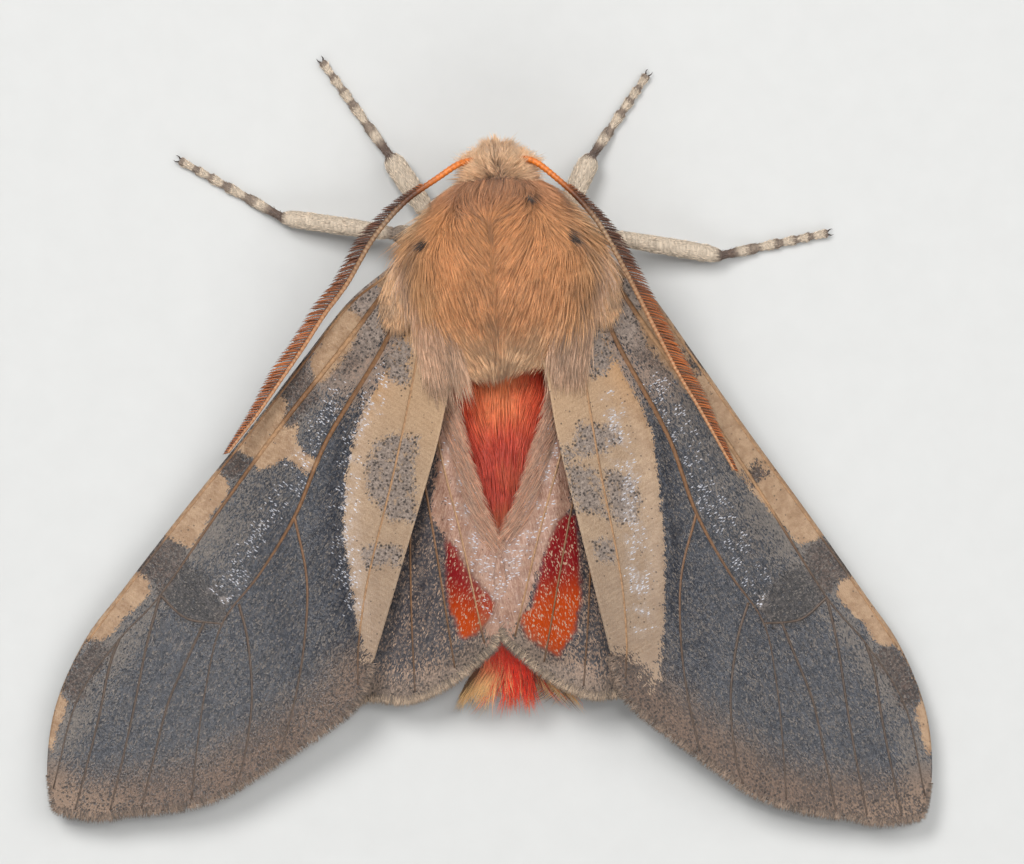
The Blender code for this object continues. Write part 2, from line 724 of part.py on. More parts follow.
def leg_rooms():
    """The space of the upper legs with the gap round them, to cut the coat clear."""
    made = []
    for name, joints in LEGS.items():
        coxa, trochanter, knee, ankle, _ = joints
        shin = TIBIA_RADII[name.split("_")[1]]
        for start, finish, radii in (
            (coxa, trochanter, COXA_RADII), (trochanter, knee, FEMUR_RADII), (knee, ankle, shin),
        ):
            grown = [radius + GAP for radius in radii]
            made.append(rounded_length("leg_room", start, finish, grown, "leg"))
    return made


def make_leg(name):
    """Coxa, femur, tibia with its spurs, and the jointed foot with two claws, fused into one solid."""
    coxa, trochanter, knee, ankle, toe = (Vector(point) for point in LEGS[name])
    pair = name.split("_")[1]
    leg = rounded_length(name, trochanter, knee, FEMUR_RADII, "leg")
    pieces = [
        rounded_length("coxa", coxa, trochanter, COXA_RADII, "leg"),
        rounded_length("tibia", knee, ankle, TIBIA_RADII[pair], "leg"),
        tarsus("tarsus", ankle, toe),
    ]
    ahead = Vector((toe.x - ankle.x, toe.y - ankle.y, 0)).normalized()
    across = Vector((-ahead.y, ahead.x, 0))
    tip = Vector((toe.x, toe.y, SOLE_HEIGHT))
    for sign in (-1, 1):
        root = tip - ahead * 0.25 + across * 0.08 * sign
        point = tip + (ahead + across * CLAW_SPREAD * sign).normalized() * CLAW_LENGTH
        pieces.append(spike("claw", root, point, CLAW_RADIUS, "leg"))
    shin = (ankle - knee).normalized()
    for share in SPUR_SHARES[pair]:
        root = knee.lerp(ankle, share)
        outward = shin.cross(Vector((0, 0, 1))).normalized() * (1 if "left" in name else -1)
        point = root + (shin * 0.8 + outward * 0.6).normalized() * SPUR_LENGTH
        pieces.append(spike("spur", root, point, SPUR_RADIUS, "leg"))
    apply_boolean(leg, "UNION", pieces)
    apply_boolean(leg, "DIFFERENCE", [body_form("thorax_room", THORAX, "thorax", GAP)])
    keep_largest(leg)


def eye_form(name, side, radius):
    made = solid(name, [], [], "eye")
    work = bmesh.new()
    bmesh.ops.create_uvsphere(work, u_segments=12, v_segments=8, radius=radius * MM)
    x, y, z = EYE_CENTRE
    bmesh.ops.translate(work, verts=work.verts, vec=Vector((SIDES[side] * x, y, z)) * MM)
    work.to_mesh(made.data)
    work.free()
    face_out(made)
    return made


def palp_form(name, side, grow=0.0):
    path = [(SIDES[side] * x, y, z) for x, y, z in PALP_PATH]
    radii = [radius + grow for radius in PALP_RADII]
    return tube(name, path, radii, LEG_SIDES, "palp")


def make_face(side):
    """An eye and a palp, each set against the head with the gap that neighbours keep."""
    for made in (eye_form("eye_" + side, side, EYE_RADIUS), palp_form("palp_" + side, side)):
        apply_boolean(made, "DIFFERENCE", [body_form("head_room", HEAD, "head", GAP)])
        keep_largest(made)


def make_body():
    """Head, thorax and abdomen with their coats cut clear of all that stands near them."""
    draw = random.Random(LOCK_SEED)
    face = [eye_form("eye_room", side, EYE_RADIUS + GAP) for side in SIDES]
    face += [palp_form("palp_room", side, GAP) for side in SIDES]
    face += [antenna_room(side) for side in SIDES]
    coated_form("head", HEAD, coat(HEAD, HEAD_ROWS, "head", True, draw), face)
    near = [antenna_room(side) for side in SIDES] + wing_rooms() + leg_rooms()
    near.append(body_form("abdomen_room", ABDOMEN, "abdomen", GAP))
    coated_form("thorax", THORAX, coat(THORAX, THORAX_ROWS, "thorax", False, draw), near)
    locks = coat(ABDOMEN, BACK_ROWS, "back", False, draw) + coat(ABDOMEN, TAIL_ROWS, "tail", False, draw)
    coated_form("abdomen", ABDOMEN, locks, wing_rooms() + leg_rooms())


def shade_round(thing):
    thing.data.shade_smooth()
    thing.data.set_sharp_from_angle(angle=math.radians(40))


def main():
    clear_scene()
    make_body()
    make_wings()
    for side in SIDES:
        make_antenna(side)
        make_face(side)
    for name in LEGS:
        make_leg(name)
    moth = bpy.data.objects.new("moth", None)
    bpy.context.scene.collection.objects.link(moth)
    moth.location = (ORIGIN_SHIFT[0] * MM, ORIGIN_SHIFT[1] * MM, 0)
    for thing in bpy.context.scene.objects:
        if thing.type == "MESH":
            shade_round(thing)
            thing.parent = moth


main()
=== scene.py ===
"""Looks of the glassy-wing tiger moth: skin, fur, glassy wings, combed feelers, legs, camera and light.

Sizes are millimetres in the moth's own frame, as in the part's source: x to its right, y towards its
head, z up from the floor. SHIFT and MM turn them into the row frame in metres. Colours are written as
the sRGB values that the eye sees, from 0 to 255.
"""

import math

import bpy
import numpy as np
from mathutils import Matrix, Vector


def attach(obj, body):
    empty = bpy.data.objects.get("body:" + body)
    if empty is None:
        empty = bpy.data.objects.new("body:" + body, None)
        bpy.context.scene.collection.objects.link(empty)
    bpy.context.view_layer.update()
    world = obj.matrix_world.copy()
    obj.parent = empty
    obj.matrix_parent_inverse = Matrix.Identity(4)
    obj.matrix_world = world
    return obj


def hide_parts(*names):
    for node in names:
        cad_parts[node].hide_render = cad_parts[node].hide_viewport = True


MM = 0.001
SHIFT = np.array((1.6, 8.7, 0.0))
SIDES = {"left": -1, "right": 1}
SEED = 20261

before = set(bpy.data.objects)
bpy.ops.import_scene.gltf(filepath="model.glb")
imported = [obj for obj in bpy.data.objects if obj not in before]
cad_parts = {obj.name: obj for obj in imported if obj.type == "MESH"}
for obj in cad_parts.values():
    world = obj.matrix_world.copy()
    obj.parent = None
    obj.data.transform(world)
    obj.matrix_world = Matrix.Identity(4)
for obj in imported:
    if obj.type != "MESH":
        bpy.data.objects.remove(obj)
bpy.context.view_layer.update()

# Cores of the body as stations of (y, half width, centre height, half height), front to back.
HEAD = (
    (6.15, 0.5, 4.4, 0.7),
    (5.9, 0.9, 4.4, 1.2),
    (5.4, 1.2, 4.5, 1.6),
    (4.9, 1.35, 4.55, 1.7),
    (4.6, 1.3, 4.6, 1.65),
)
THORAX = (
    (4.2, 2.2, 4.9, 2.1),
    (3.3, 3.2, 5.1, 2.7),
    (2.2, 4.1, 5.3, 3.1),
    (0.8, 4.6, 5.35, 3.3),
    (-0.8, 4.6, 5.4, 3.3),
    (-2.2, 4.15, 5.3, 3.1),
    (-3.4, 3.5, 5.1, 2.7),
    (-4.4, 2.8, 4.8, 2.2),
)
# What the fur stands on: the thorax with its rear fringe, and the strands over the wing roots.
CLOAK = (
    (4.75, 1.6, 4.75, 1.75),
    (4.2, 1.95, 4.9, 2.1),
    (3.3, 2.9, 5.1, 2.7),
    (2.2, 3.9, 5.3, 3.1),
    *THORAX[3:6],
    (-3.4, 3.7, 5.1, 2.75),
    (-4.4, 3.1, 4.9, 2.4),
    (-5.5, 2.6, 4.7, 1.9),
    (-6.5, 2.4, 4.4, 1.5),
)
SHAWL = (
    (2.0, 4.3, 5.3, 3.0),
    (0.5, 4.55, 5.5, 2.9),
    (-1.5, 4.5, 5.6, 2.4),
    (-3.5, 4.2, 5.6, 1.9),
    (-5.5, 3.8, 5.5, 1.5),
    (-8.0, 3.4, 5.2, 1.2),
)
ABDOMEN = (
    (-4.75, 2.7, 3.7, 1.9),
    (-6.5, 3.3, 3.35, 2.25),
    (-10.0, 3.45, 3.2, 2.4),
    (-14.0, 3.25, 3.0, 2.3),
    (-16.8, 2.8, 2.75, 1.95),
    (-18.6, 2.35, 2.45, 1.4),
    (-19.8, 1.9, 2.2, 0.7),
)
# The blunt front of the head: y, middle height, half width and half height.
FACE_END = (5.95, 4.35, 0.62, 0.85)
# The end of the abdomen: y, half width, middle height and half height.
TAIL_END = (-19.3, 1.7, 2.25, 0.9)
# The tail's brush flattens and widens behind the abdomen.
BRUSH = (*ABDOMEN[-3:], (-20.4, 2.35, 2.15, 0.45), (-22.4, 3.2, 2.0, 0.12))
# How far the skin lies inside the cores, and its grid.
SKIN_DEPTH = 0.25
SKIN_SIDES = 64
SKIN_STEP = 0.2

TINTS = {
    "tan": (216, 154, 101),
    "collar": (188, 134, 96),
    "shoulder": (200, 150, 104),
    "rear": (228, 188, 146),
    "side": (218, 180, 152),
    "dusk": (128, 104, 88),
    "tegula": (222, 176, 130),
    "cream": (232, 196, 154),
    "head": (226, 186, 146),
    "spot": (44, 34, 30),
    "orange": (248, 144, 86),
    "red": (214, 76, 52),
    "deep_red": (186, 50, 34),
    "belly": (206, 168, 130),
    "scarlet": (240, 76, 46),
    "flame": (236, 50, 6),
    "straw": (226, 182, 122),
    "leg": (224, 205, 182),
    "leg_ring": (112, 92, 80),
    "rust": (84, 44, 18),
    "amber": (206, 112, 38),
    "fringe_fore": (140, 118, 100),
    "fringe_hind": (176, 152, 128),
    "edge_hair": (196, 158, 132),
    "vein": (112, 77, 46),
    "far_vein": (78, 63, 52),
    "pale_vein": (152, 116, 82),
}


def linear(colour):
    """Linear values of an sRGB colour given from 0 to 255."""
    share = np.asarray(colour, float) / 255
    return np.where(share <= 0.04045, share / 12.92, ((share + 0.055) / 1.055) ** 2.4)


PAINT = {name: linear(colour) for name, colour in TINTS.items()}


def smoothstep(low, high, value):
    share = np.clip((value - low) / (high - low), 0.0, 1.0)
    return share * share * (3 - 2 * share)


def blend(first, second, share):
    """Mixes colours or places row by row."""
    share = np.asarray(share)[..., None]
    return first * (1 - share) + second * share


def layered(colour, *layers):
    """Puts colours of PAINT over one another, each as (name, share)."""
    for name, share in layers:
        colour = blend(colour, PAINT[name], share)
    return colour


def unit(vectors):
    return vectors / np.maximum(np.linalg.norm(vectors, axis=-1, keepdims=True), 1e-9)


def plane(across, y):
    """Places on the unrolled body, as pairs."""
    return np.stack((across, y), axis=-1)


def field(points, size, seed):
    """Smooth noise between about -1 and 1, with features about one size across."""
    draw = np.random.default_rng(SEED + seed)
    total = np.zeros(points.shape[:-1])
    for _ in range(8):
        wave = draw.normal(size=points.shape[-1]) * 2.2 / size
        total += np.sin(points @ wave + draw.uniform(0, 2 * math.pi))
    return total / 4


def hashed(key, salt):
    """A repeatable random number from 0 to 1 for each whole number."""
    value = np.sin(np.asarray(key, float) * 12.9898 + salt * 78.233) * 43758.5453
    return value - np.floor(value)


def frame_along(path):
    """Directions ahead, across and up along a path."""
    ahead = unit(np.gradient(path, axis=0))
    across = unit(np.cross(ahead, (0.0, 0.0, 1.0)))
    return ahead, across, np.cross(across, ahead)


def sample(places, steps, values):
    """Points between the rows of values, which lie at the given steps."""
    return np.stack([np.interp(places, steps, column) for column in values.T], axis=-1)


def smooth_path(points, count):
    """Evenly spaced points on a Catmull-Rom curve through the given ones."""
    knots = np.array(points, float)
    ends = np.vstack((2 * knots[0] - knots[1], knots, 2 * knots[-1] - knots[-2]))
    share = np.linspace(0, 1, 24, endpoint=False)[:, None]
    runs = []
    for before, start, finish, after in zip(ends, ends[1:], ends[2:], ends[3:]):
        cubic = -before + 3 * start - 3 * finish + after
        square = 2 * before - 5 * start + 4 * finish - after
        runs.append(0.5 * (2 * start + (finish - before) * share + square * share**2 + cubic * share**3))
    dense = np.vstack((*runs, knots[-1:]))
    length = np.concatenate(([0], np.cumsum(np.linalg.norm(np.diff(dense, axis=0), axis=1))))
    return sample(np.linspace(0, length[-1], count), length, dense)


def section(stations, y):
    """Half width, centre height and half height of a body form at each y."""
    table = np.array(stations)[::-1]
    return tuple(np.interp(y, table[:, 0], table[:, column]) for column in (1, 2, 3))


def on_core(stations, y, angle, height):
    """Points above a core, their outward directions and the core's radius along the section there."""
    width, centre, tall = section(stations, y)
    cosine, sine = np.cos(angle), np.sin(angle)
    out = unit(np.stack((cosine / width, np.zeros_like(y), sine / tall), axis=-1))
    point = np.stack((width * cosine, y, centre + tall * sine), axis=-1)
    return point + out * np.asarray(height)[..., None], out, np.hypot(width * sine, tall * cosine)


class Graph:
    """A material's nodes, added one call at a time."""

    def __init__(self, name):
        self.material = bpy.data.materials.new(name)
        self.material.use_nodes = True
        self.tree = self.material.node_tree
        self.shader = self.tree.nodes["Principled BSDF"]

    def add(self, kind, inputs=(), **settings):
        node = self.tree.nodes.new("ShaderNode" + kind)
        for key, value in settings.items():
            setattr(node, key, value)
        for key, value in dict(inputs).items():
            self.feed(node.inputs[key], value)
        return node

    def feed(self, socket, value):
        if isinstance(value, bpy.types.NodeSocket):
            self.tree.links.new(value, socket)
        elif hasattr(socket.default_value, "__len__") and len(socket.default_value) == 4:
            socket.default_value = (*linear(value), 1.0)
        else:
            socket.default_value = value

    def attribute(self, name, output="Vector"):
        return self.add("Attribute", attribute_name=name).outputs[output]

    def parts(self, vector):
        return self.add("SeparateXYZ", {"Vector": vector}).outputs

    def math(self, operation, first, second=0.0, third=0.0):
        return self.add("Math", {0: first, 1: second, 2: third}, operation=operation).outputs[0]

    def times(self, first, second):
        return self.math("MULTIPLY", first, second)

    def most(self, first, second):
        return self.math("MAXIMUM", first, second)

    def part(self, value, factor, start=0.0):
        """A share of a value, added to a start."""
        return self.math("MULTIPLY_ADD", value, factor, start)

    def swing(self, value, factor, start=0.0):
        """As part, for a value that varies round a half."""
        return self.part(self.math("SUBTRACT", value, 0.5), factor, start)

    def ramp(self, value, low, high, first=0.0, last=1.0):
        inputs = {"Value": value, "From Min": low, "From Max": high, "To Min": first, "To Max": last}
        return self.add("MapRange", inputs, interpolation_type="SMOOTHSTEP").outputs[0]

    def stretch(self, vector, scale):
        return self.add("Mapping", {"Vector": vector, "Scale": scale}).outputs[0]

    def noise(self, vector, scale, detail=3.0, roughness=0.6):
        inputs = {"Vector": vector, "Scale": scale, "Detail": detail, "Roughness": roughness}
        return self.add("TexNoise", inputs).outputs["Fac"]

    def cells(self, vector, scale):
        node = self.add("TexVoronoi", {"Vector": vector, "Scale": scale})
        return node.outputs["Distance"], self.parts(node.outputs["Color"])

    def mix(self, first, second, share):
        """A colour between two: sockets 0, 6 and 7 of the node are the share and its two colours."""
        return self.add("Mix", {0: share, 6: first, 7: second}, data_type="RGBA").outputs[2]

    def tinted(self, gain):
        """The mesh's own tint times a gain."""
        inputs = {0: self.attribute("tint", "Color"), "Scale": gain}
        return self.add("VectorMath", inputs, operation="SCALE").outputs[0]

    def bump(self, height, strength, distance):
        inputs = {"Height": height, "Strength": strength, "Distance": distance}
        self.feed(self.shader.inputs["Normal"], self.add("Bump", inputs).outputs[0])

    def finish(self, **inputs):
        for key, value in inputs.items():
            self.feed(self.shader.inputs[key.replace("_", " ")], value)
        return self.material


def object_place(graph):
    """Object coordinates in millimetres."""
    place = graph.add("TexCoord").outputs["Object"]
    return graph.stretch(place, (1 / MM, 1 / MM, 1 / MM))


def fur_material(name, roughness=0.5, sheen=0.15, contrast=0.8, root_shade=0.66):
    """Fur: its markings come with the mesh, and each hair is darker at its root, as painted shade of the
    coat's depth, and varies along it.
    """
    graph = Graph(name)
    hair = graph.parts(graph.attribute("hair"))
    # Painted shade: each hair is darker towards its root, where the coat would shade it.
    shade = graph.ramp(hair[1], 0.0, 0.7, root_shade, 1.06)
    own = graph.ramp(hair[0], 0.0, 1.0, contrast, 2.0 - contrast)
    patchy = graph.ramp(graph.noise(object_place(graph), 3.0), 0.3, 0.7, 0.9, 1.1)
    gain = graph.times(graph.times(shade, own), patchy)
    rough = graph.ramp(hair[0], 0.0, 1.0, roughness - 0.08, roughness + 0.1)
    return graph.finish(Base_Color=graph.tinted(gain), Roughness=rough, Sheen_Weight=sheen)


def grained_material(name, noise, gain, bump, roughness):
    """A plain surface in the mesh's tint, varied by noise.

    noise is (stretch, scale, detail), gain the four ends of its ramp, and bump its strength and depth.
    """
    graph = Graph(name)
    stretch, scale, detail = noise
    place = object_place(graph)
    grain = graph.noise(graph.stretch(place, stretch) if stretch else place, scale, detail)
    strength, depth = bump
    graph.bump(grain, strength, depth * MM)
    return graph.finish(Base_Color=graph.tinted(graph.ramp(grain, *gain)), Roughness=roughness)


def skin_material():
    streaks = ((9.0, 1.5, 9.0), 1.0, 3.0)
    return grained_material("moth_skin", streaks, (0.3, 0.7, 0.45, 0.8), (0.5, 0.1), 0.8)


def set_attribute(mesh, name, kind, values):
    attribute = mesh.attributes.new(name, kind, "POINT")
    channel = {"FLOAT": "value", "FLOAT_VECTOR": "vector", "FLOAT_COLOR": "color"}[kind]
    attribute.data.foreach_set(channel, np.ascontiguousarray(values, np.float32).ravel())


def build(name, points, faces, material, tint=None, hair=None, wing=None, masks=None, uv=None):
    """A smooth mesh object from points in millimetres and arrays of quads and triangles."""
    mesh = bpy.data.meshes.new(name)
    place = (points.reshape(-1, 3) + SHIFT) * MM
    corners = np.concatenate([np.asarray(face, np.int32).ravel() for face in faces])
    sizes = np.concatenate([np.full(len(face), np.shape(face)[1], np.int32) for face in faces])
    mesh.vertices.add(len(place))
    mesh.vertices.foreach_set("co", place.astype(np.float32).ravel())
    mesh.loops.add(len(corners))
    mesh.loops.foreach_set("vertex_index", corners)
    mesh.polygons.add(len(sizes))
    mesh.polygons.foreach_set("loop_start", (np.cumsum(sizes) - sizes).astype(np.int32))
    mesh.polygons.foreach_set("use_smooth", np.ones(len(sizes), bool))
    mesh.update(calc_edges=True)
    if tint is not None:
        opaque = np.ones((len(place), 1))
        set_attribute(mesh, "tint", "FLOAT_COLOR", np.hstack((tint.reshape(-1, 3), opaque)))
    if hair is not None:
        set_attribute(mesh, "hair", "FLOAT_VECTOR", hair)
    if wing is not None:
        set_attribute(mesh, "wing", "FLOAT_VECTOR", wing)
    for key, values in (masks or {}).items():
        set_attribute(mesh, key, "FLOAT", values)
    if uv is not None:
        layer = mesh.uv_layers.new(name="OFBake")
        layer.data.foreach_set("uv", uv.reshape(-1, 2)[corners].astype(np.float32).ravel())
    mesh.materials.append(material)
    thing = bpy.data.objects.new(name, mesh)
    bpy.context.scene.collection.objects.link(thing)
    return thing


def placed(thing, slot, *nodes):
    """Gives a piece its body and hides the solids that it stands for; slot is not used."""
    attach(thing, "root")
    if nodes:
        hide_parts(*nodes)


def solid(name, points, material, slot, node, tint=None):
    """A closed form through rings of points, in place of one of the solids."""
    rings, sides, _ = points.shape
    placed(build(name, points, ring_faces(rings, sides), material, tint=tint), slot, node)


def ring_faces(rings, sides):
    """Quads of a tube through rings of points, and its two caps as triangles round the first point."""
    ring, side = np.meshgrid(np.arange(rings - 1), np.arange(sides), indexing="ij")
    a = (ring * sides + side).ravel()
    b = (ring * sides + (side + 1) % sides).ravel()
    quads = np.stack((a, b, b + sides, a + sides), axis=1)
    fan = np.arange(1, sides - 1)
    front = np.stack((np.zeros_like(fan), fan + 1, fan), axis=1)
    back = np.stack((np.zeros_like(fan), fan, fan + 1), axis=1) + (rings - 1) * sides
    return quads, np.vstack((front, back))


def joined(tubes):
    """Points and faces of one mesh from several closed tubes, each given as its rings of points."""
    points, quads, caps, start = [], [], [], 0
    for tube in tubes:
        ring, cap = ring_faces(*tube.shape[:2])
        quads.append(ring + start)
        caps.append(cap + start)
        points.append(tube.reshape(-1, 3))
        start += len(points[-1])
    return np.vstack(points), (np.vstack(quads), np.vstack(caps))


def tube_points(path, radii, sides, flat=1.0, floor=None):
    """Rings square to a path. flat squeezes them up and down, and floor keeps them above a height."""
    _, across, up = frame_along(path)
    angle = np.linspace(0, 2 * math.pi, sides, endpoint=False)
    aside = across[:, None] * np.cos(angle)[None, :, None]
    ring = aside + flat * up[:, None] * np.sin(angle)[None, :, None]
    points = path[:, None] + ring * np.asarray(radii)[:, None, None]
    if floor is not None:
        points[..., 2] = np.maximum(points[..., 2], floor)
    return points


# The size of each hair's patch on the OFBake map.
PATCH = 0.003


def hairs(name, material, paths, ups, widths, tint, chance, roots_uv, taper=0.75, flat=0.6):
    """Many thin closed hairs as one mesh.

    paths is (hairs, stations, 3); each hair is a three-sided prism that narrows to a point. Each hair
    has one small patch on the OFBake map, at its root's place.
    """
    count, stations, _ = paths.shape
    ahead = unit(np.gradient(paths, axis=1))
    across = unit(np.cross(ahead, ups[:, None] if ups.ndim == 2 else ups))
    over = np.cross(across, ahead)
    share = np.linspace(0, 1, stations)
    profile = (1 - share[:-1] ** 2 * taper) * np.where(share[:-1] == 0, 0.8, 1.0)
    wide = widths[:, None, None] * profile[None, :, None]
    body = paths[:, :-1]
    across, over = across[:, :-1] * wide, over[:, :-1] * wide * flat
    rings = np.stack((body + across - 0.5 * over, body + over, body - across - 0.5 * over), axis=2)
    points = np.concatenate((rings.reshape(count, -1, 3), paths[:, -1:]), axis=1)
    size = points.shape[1]
    quads, caps = ring_faces(stations - 1, 3)
    last = size - 4
    tip = np.array([(last, last + 1, size - 1), (last + 1, last + 2, size - 1), (last + 2, last, size - 1)])
    start = (np.arange(count) * size)[:, None, None]
    quads = (quads[None] + start).reshape(-1, 4)
    triangles = (np.vstack((caps[:1], tip))[None] + start).reshape(-1, 3)
    along = np.append(np.repeat(share[:-1], 3), 1.0)
    sideways = np.append(np.tile((0.0, 0.5, 1.0), stations - 1), 0.5)
    hair = np.stack((np.repeat(chance, size), np.tile(along, count), np.zeros(count * size)), axis=1)
    if tint.ndim == 2:
        tint = np.repeat(tint[:, None], stations, axis=1)
    shade = np.concatenate((np.repeat(tint[:, :-1], 3, axis=1), tint[:, -1:]), axis=1)
    patch = np.stack((sideways, along), axis=1) * PATCH
    uv = roots_uv[:, None] * (1 - PATCH) + patch[None]
    return build(name, points, (quads, triangles), material, tint=shade, hair=hair, uv=uv)


def spread(count, seed):
    """Even pairs of numbers from 0 to 1."""
    index = np.arange(count) + 1
    return (index * 0.7548776662 + seed * 0.31) % 1.0, (index * 0.5698402910 + seed * 0.17) % 1.0


# The stretch of the body that its unwrap covers: the y at its end, and its length.
UNWRAP_END = -23.0
UNWRAP_LENGTH = 30.0


def body_uv(y, angle):
    """The place of a root on an unwrap of the body: round it from below, and along it."""
    round_it = (angle / (2 * math.pi) + 0.25) % 1.0
    return np.stack((round_it, (y - UNWRAP_END) / UNWRAP_LENGTH), axis=-1)


# Markings of the body: (across, y, size, strength). across is the distance round from the back's midline.
SPOTS = (
    (-3.35, 1.42, 0.17, 1.0), (3.1, 1.5, 0.17, 1.0), (1.35, 3.5, 0.13, 0.7), (3.2, -1.25, 0.36, 0.3),
    (-5.0, -3.2, 0.22, 0.6), (4.3, -3.2, 0.2, 0.6), (-0.25, 1.0, 0.06, 0.3), (-0.3, 0.2, 0.06, 0.3),
)
# Painted shade where the lie of the fur parts, in place of the shadow in those creases: a V behind the
# head, the line down from it, and a line at the right rear.
CREASE_SHADE = (
    ((-1.0, 2.72), (-0.62, 2.42), (-0.36, 2.3), (-0.05, 2.4), (0.5, 2.66)),
    ((-0.36, 2.3), (-0.34, 1.2)),
    ((2.9, -3.3), (2.65, -4.2), (2.45, -4.8)),
)
# Dusky strands that fan back from the two black spots.
DUSKY = (
    ((-3.6, 1.2), (-4.2, 0.0), (-4.6, -1.6), (-4.7, -3.0)),
    ((3.3, 1.2), (4.0, 0.2), (4.5, -0.8), (3.7, -2.4)),
)


def thorax_tint(across, y, draw=None):
    place = plane(across, y)
    wobble = field(place, 1.1, 40)
    off = np.abs(across)
    colour = layered(
        PAINT["tan"],
        ("shoulder", smoothstep(2.4, 4.2, off + 0.5 * wobble)),
        ("side", smoothstep(3.9, 4.9, off) * smoothstep(1.4, -0.8, y)),
        ("rear", 0.85 * smoothstep(-2.4, -4.8, y + 0.5 * wobble)),
        ("collar", 0.9 * smoothstep(2.3, 3.6, y + 0.3 * wobble)),
        ("cream", 0.7 * smoothstep(3.2, 4.4, off) * smoothstep(1.2, 2.4, y)),
        ("belly", smoothstep(6.5, 8.0, off)),
    )
    # Lighter at the collar's front edge: painted light that offsets the shade of the seam with the head.
    colour = colour * (1 + 0.07 * wobble + 0.35 * smoothstep(4.15, 4.7, y))[..., None]
    fan = inside_line(across, y, DUSKY, 0.5) * (0.5 + 0.5 * np.sin(across * 19 + 3 * wobble))
    colour = blend(colour, PAINT["dusk"], 0.75 * fan)
    for x, height, size, strength in SPOTS:
        near = np.hypot(across - x, y - height) / size
        colour = blend(colour, PAINT["spot"], strength * smoothstep(1.5, 0.5, near + 0.3 * wobble))
    # Painted shade along the creases where the fur parts.
    return blend(colour, PAINT["collar"] * 0.45, 0.6 * inside_line(across, y, CREASE_SHADE, 0.11))


def inside_line(across, y, lines, width):
    """One on any of the lines, falling to zero at a width from them."""
    nearest = np.min([line_distance(across, y, line) for line in lines], axis=0)
    return smoothstep(width, 0.3 * width, nearest)


def head_tint(across, y, draw=None):
    wobble = field(plane(across, y), 0.6, 60)
    # Lighter towards the sides of the head: painted light that lifts their shade.
    return PAINT["head"] * (1 + 0.07 * wobble + 0.12 * smoothstep(0.9, 1.9, np.abs(across)))[..., None]


def abdomen_tint(across, y, draw=None):
    """Orange behind the thorax, crimson in the middle and down the sides, orange again at the tail."""
    place = np.stack((across, y * 0.6), axis=-1)
    wobble = field(place, 1.0, 80) + 0.35 * np.sin(across * 17 + 4 * field(place, 1.5, 81))
    off = np.abs(across + 0.25)
    glow = smoothstep(2.1, 0.3, off + 0.4 * wobble) * smoothstep(-9.4, -6.6, y + 0.8 * wobble)
    flank = smoothstep(1.0, 2.3, off + 0.4 * wobble) * smoothstep(-6.0, -8.5, y)
    return layered(
        PAINT["red"],
        ("scarlet", smoothstep(-9.5, -6.5, y)),
        ("orange", np.clip(glow + 0.22 * (wobble > 0.55), 0, 1)),
        ("deep_red", 0.7 * flank),
        ("orange", 0.6 * smoothstep(-11.5, -13.2, y + 0.7 * wobble)),
        ("flame", smoothstep(-17.6, -18.6, y)),
        ("belly", smoothstep(5.0, 6.4, np.abs(across) + 0.4 * wobble)),
    )


def round_body(angle):
    """How far round from the midline of the back an angle is, to the right above zero, in radians."""
    return (math.pi / 2 - angle + math.pi) % (2 * math.pi) - math.pi


def make_skin():
    """One skin from the face to the tail, inside the cores of head, thorax and abdomen."""
    stations = [(y, w - SKIN_DEPTH, c, h - SKIN_DEPTH) for y, w, c, h in (*HEAD, *THORAX, *ABDOMEN)]
    y = np.arange(stations[0][0], stations[-1][0], -SKIN_STEP)
    angle = np.linspace(0, 2 * math.pi, SKIN_SIDES, endpoint=False)
    y, angle = np.meshgrid(y, angle, indexing="ij")
    points, _, radius = on_core(stations, y, angle, np.zeros_like(y))
    across = round_body(angle) * np.maximum(radius, 1.0)
    tint = blend(thorax_tint(across, y), head_tint(across, y), smoothstep(4.4, 4.7, y))
    tint = blend(tint, abdomen_tint(across, y), smoothstep(-4.4, -4.9, y))
    skin = build("body_skin", points, ring_faces(len(y), SKIN_SIDES), skin_material(), tint=tint)
    placed(skin, "thorax_fur", "head", "thorax", "abdomen")


def walk(across, y, length, lie, stray, rings):
    """Steps along the lie of the coat from each root: across and y at each ring."""
    path_across, path_y = [across], [y]
    step = (length / (rings - 1))[:, None]
    for _ in range(rings - 1):
        sideways, forward = lie(path_across[-1], path_y[-1])
        heading = unit(np.stack((sideways + stray, forward), axis=-1)) * step
        path_across.append(path_across[-1] + heading[:, 0])
        path_y.append(path_y[-1] + heading[:, 1])
    return np.stack(path_across, axis=1), np.stack(path_y, axis=1)


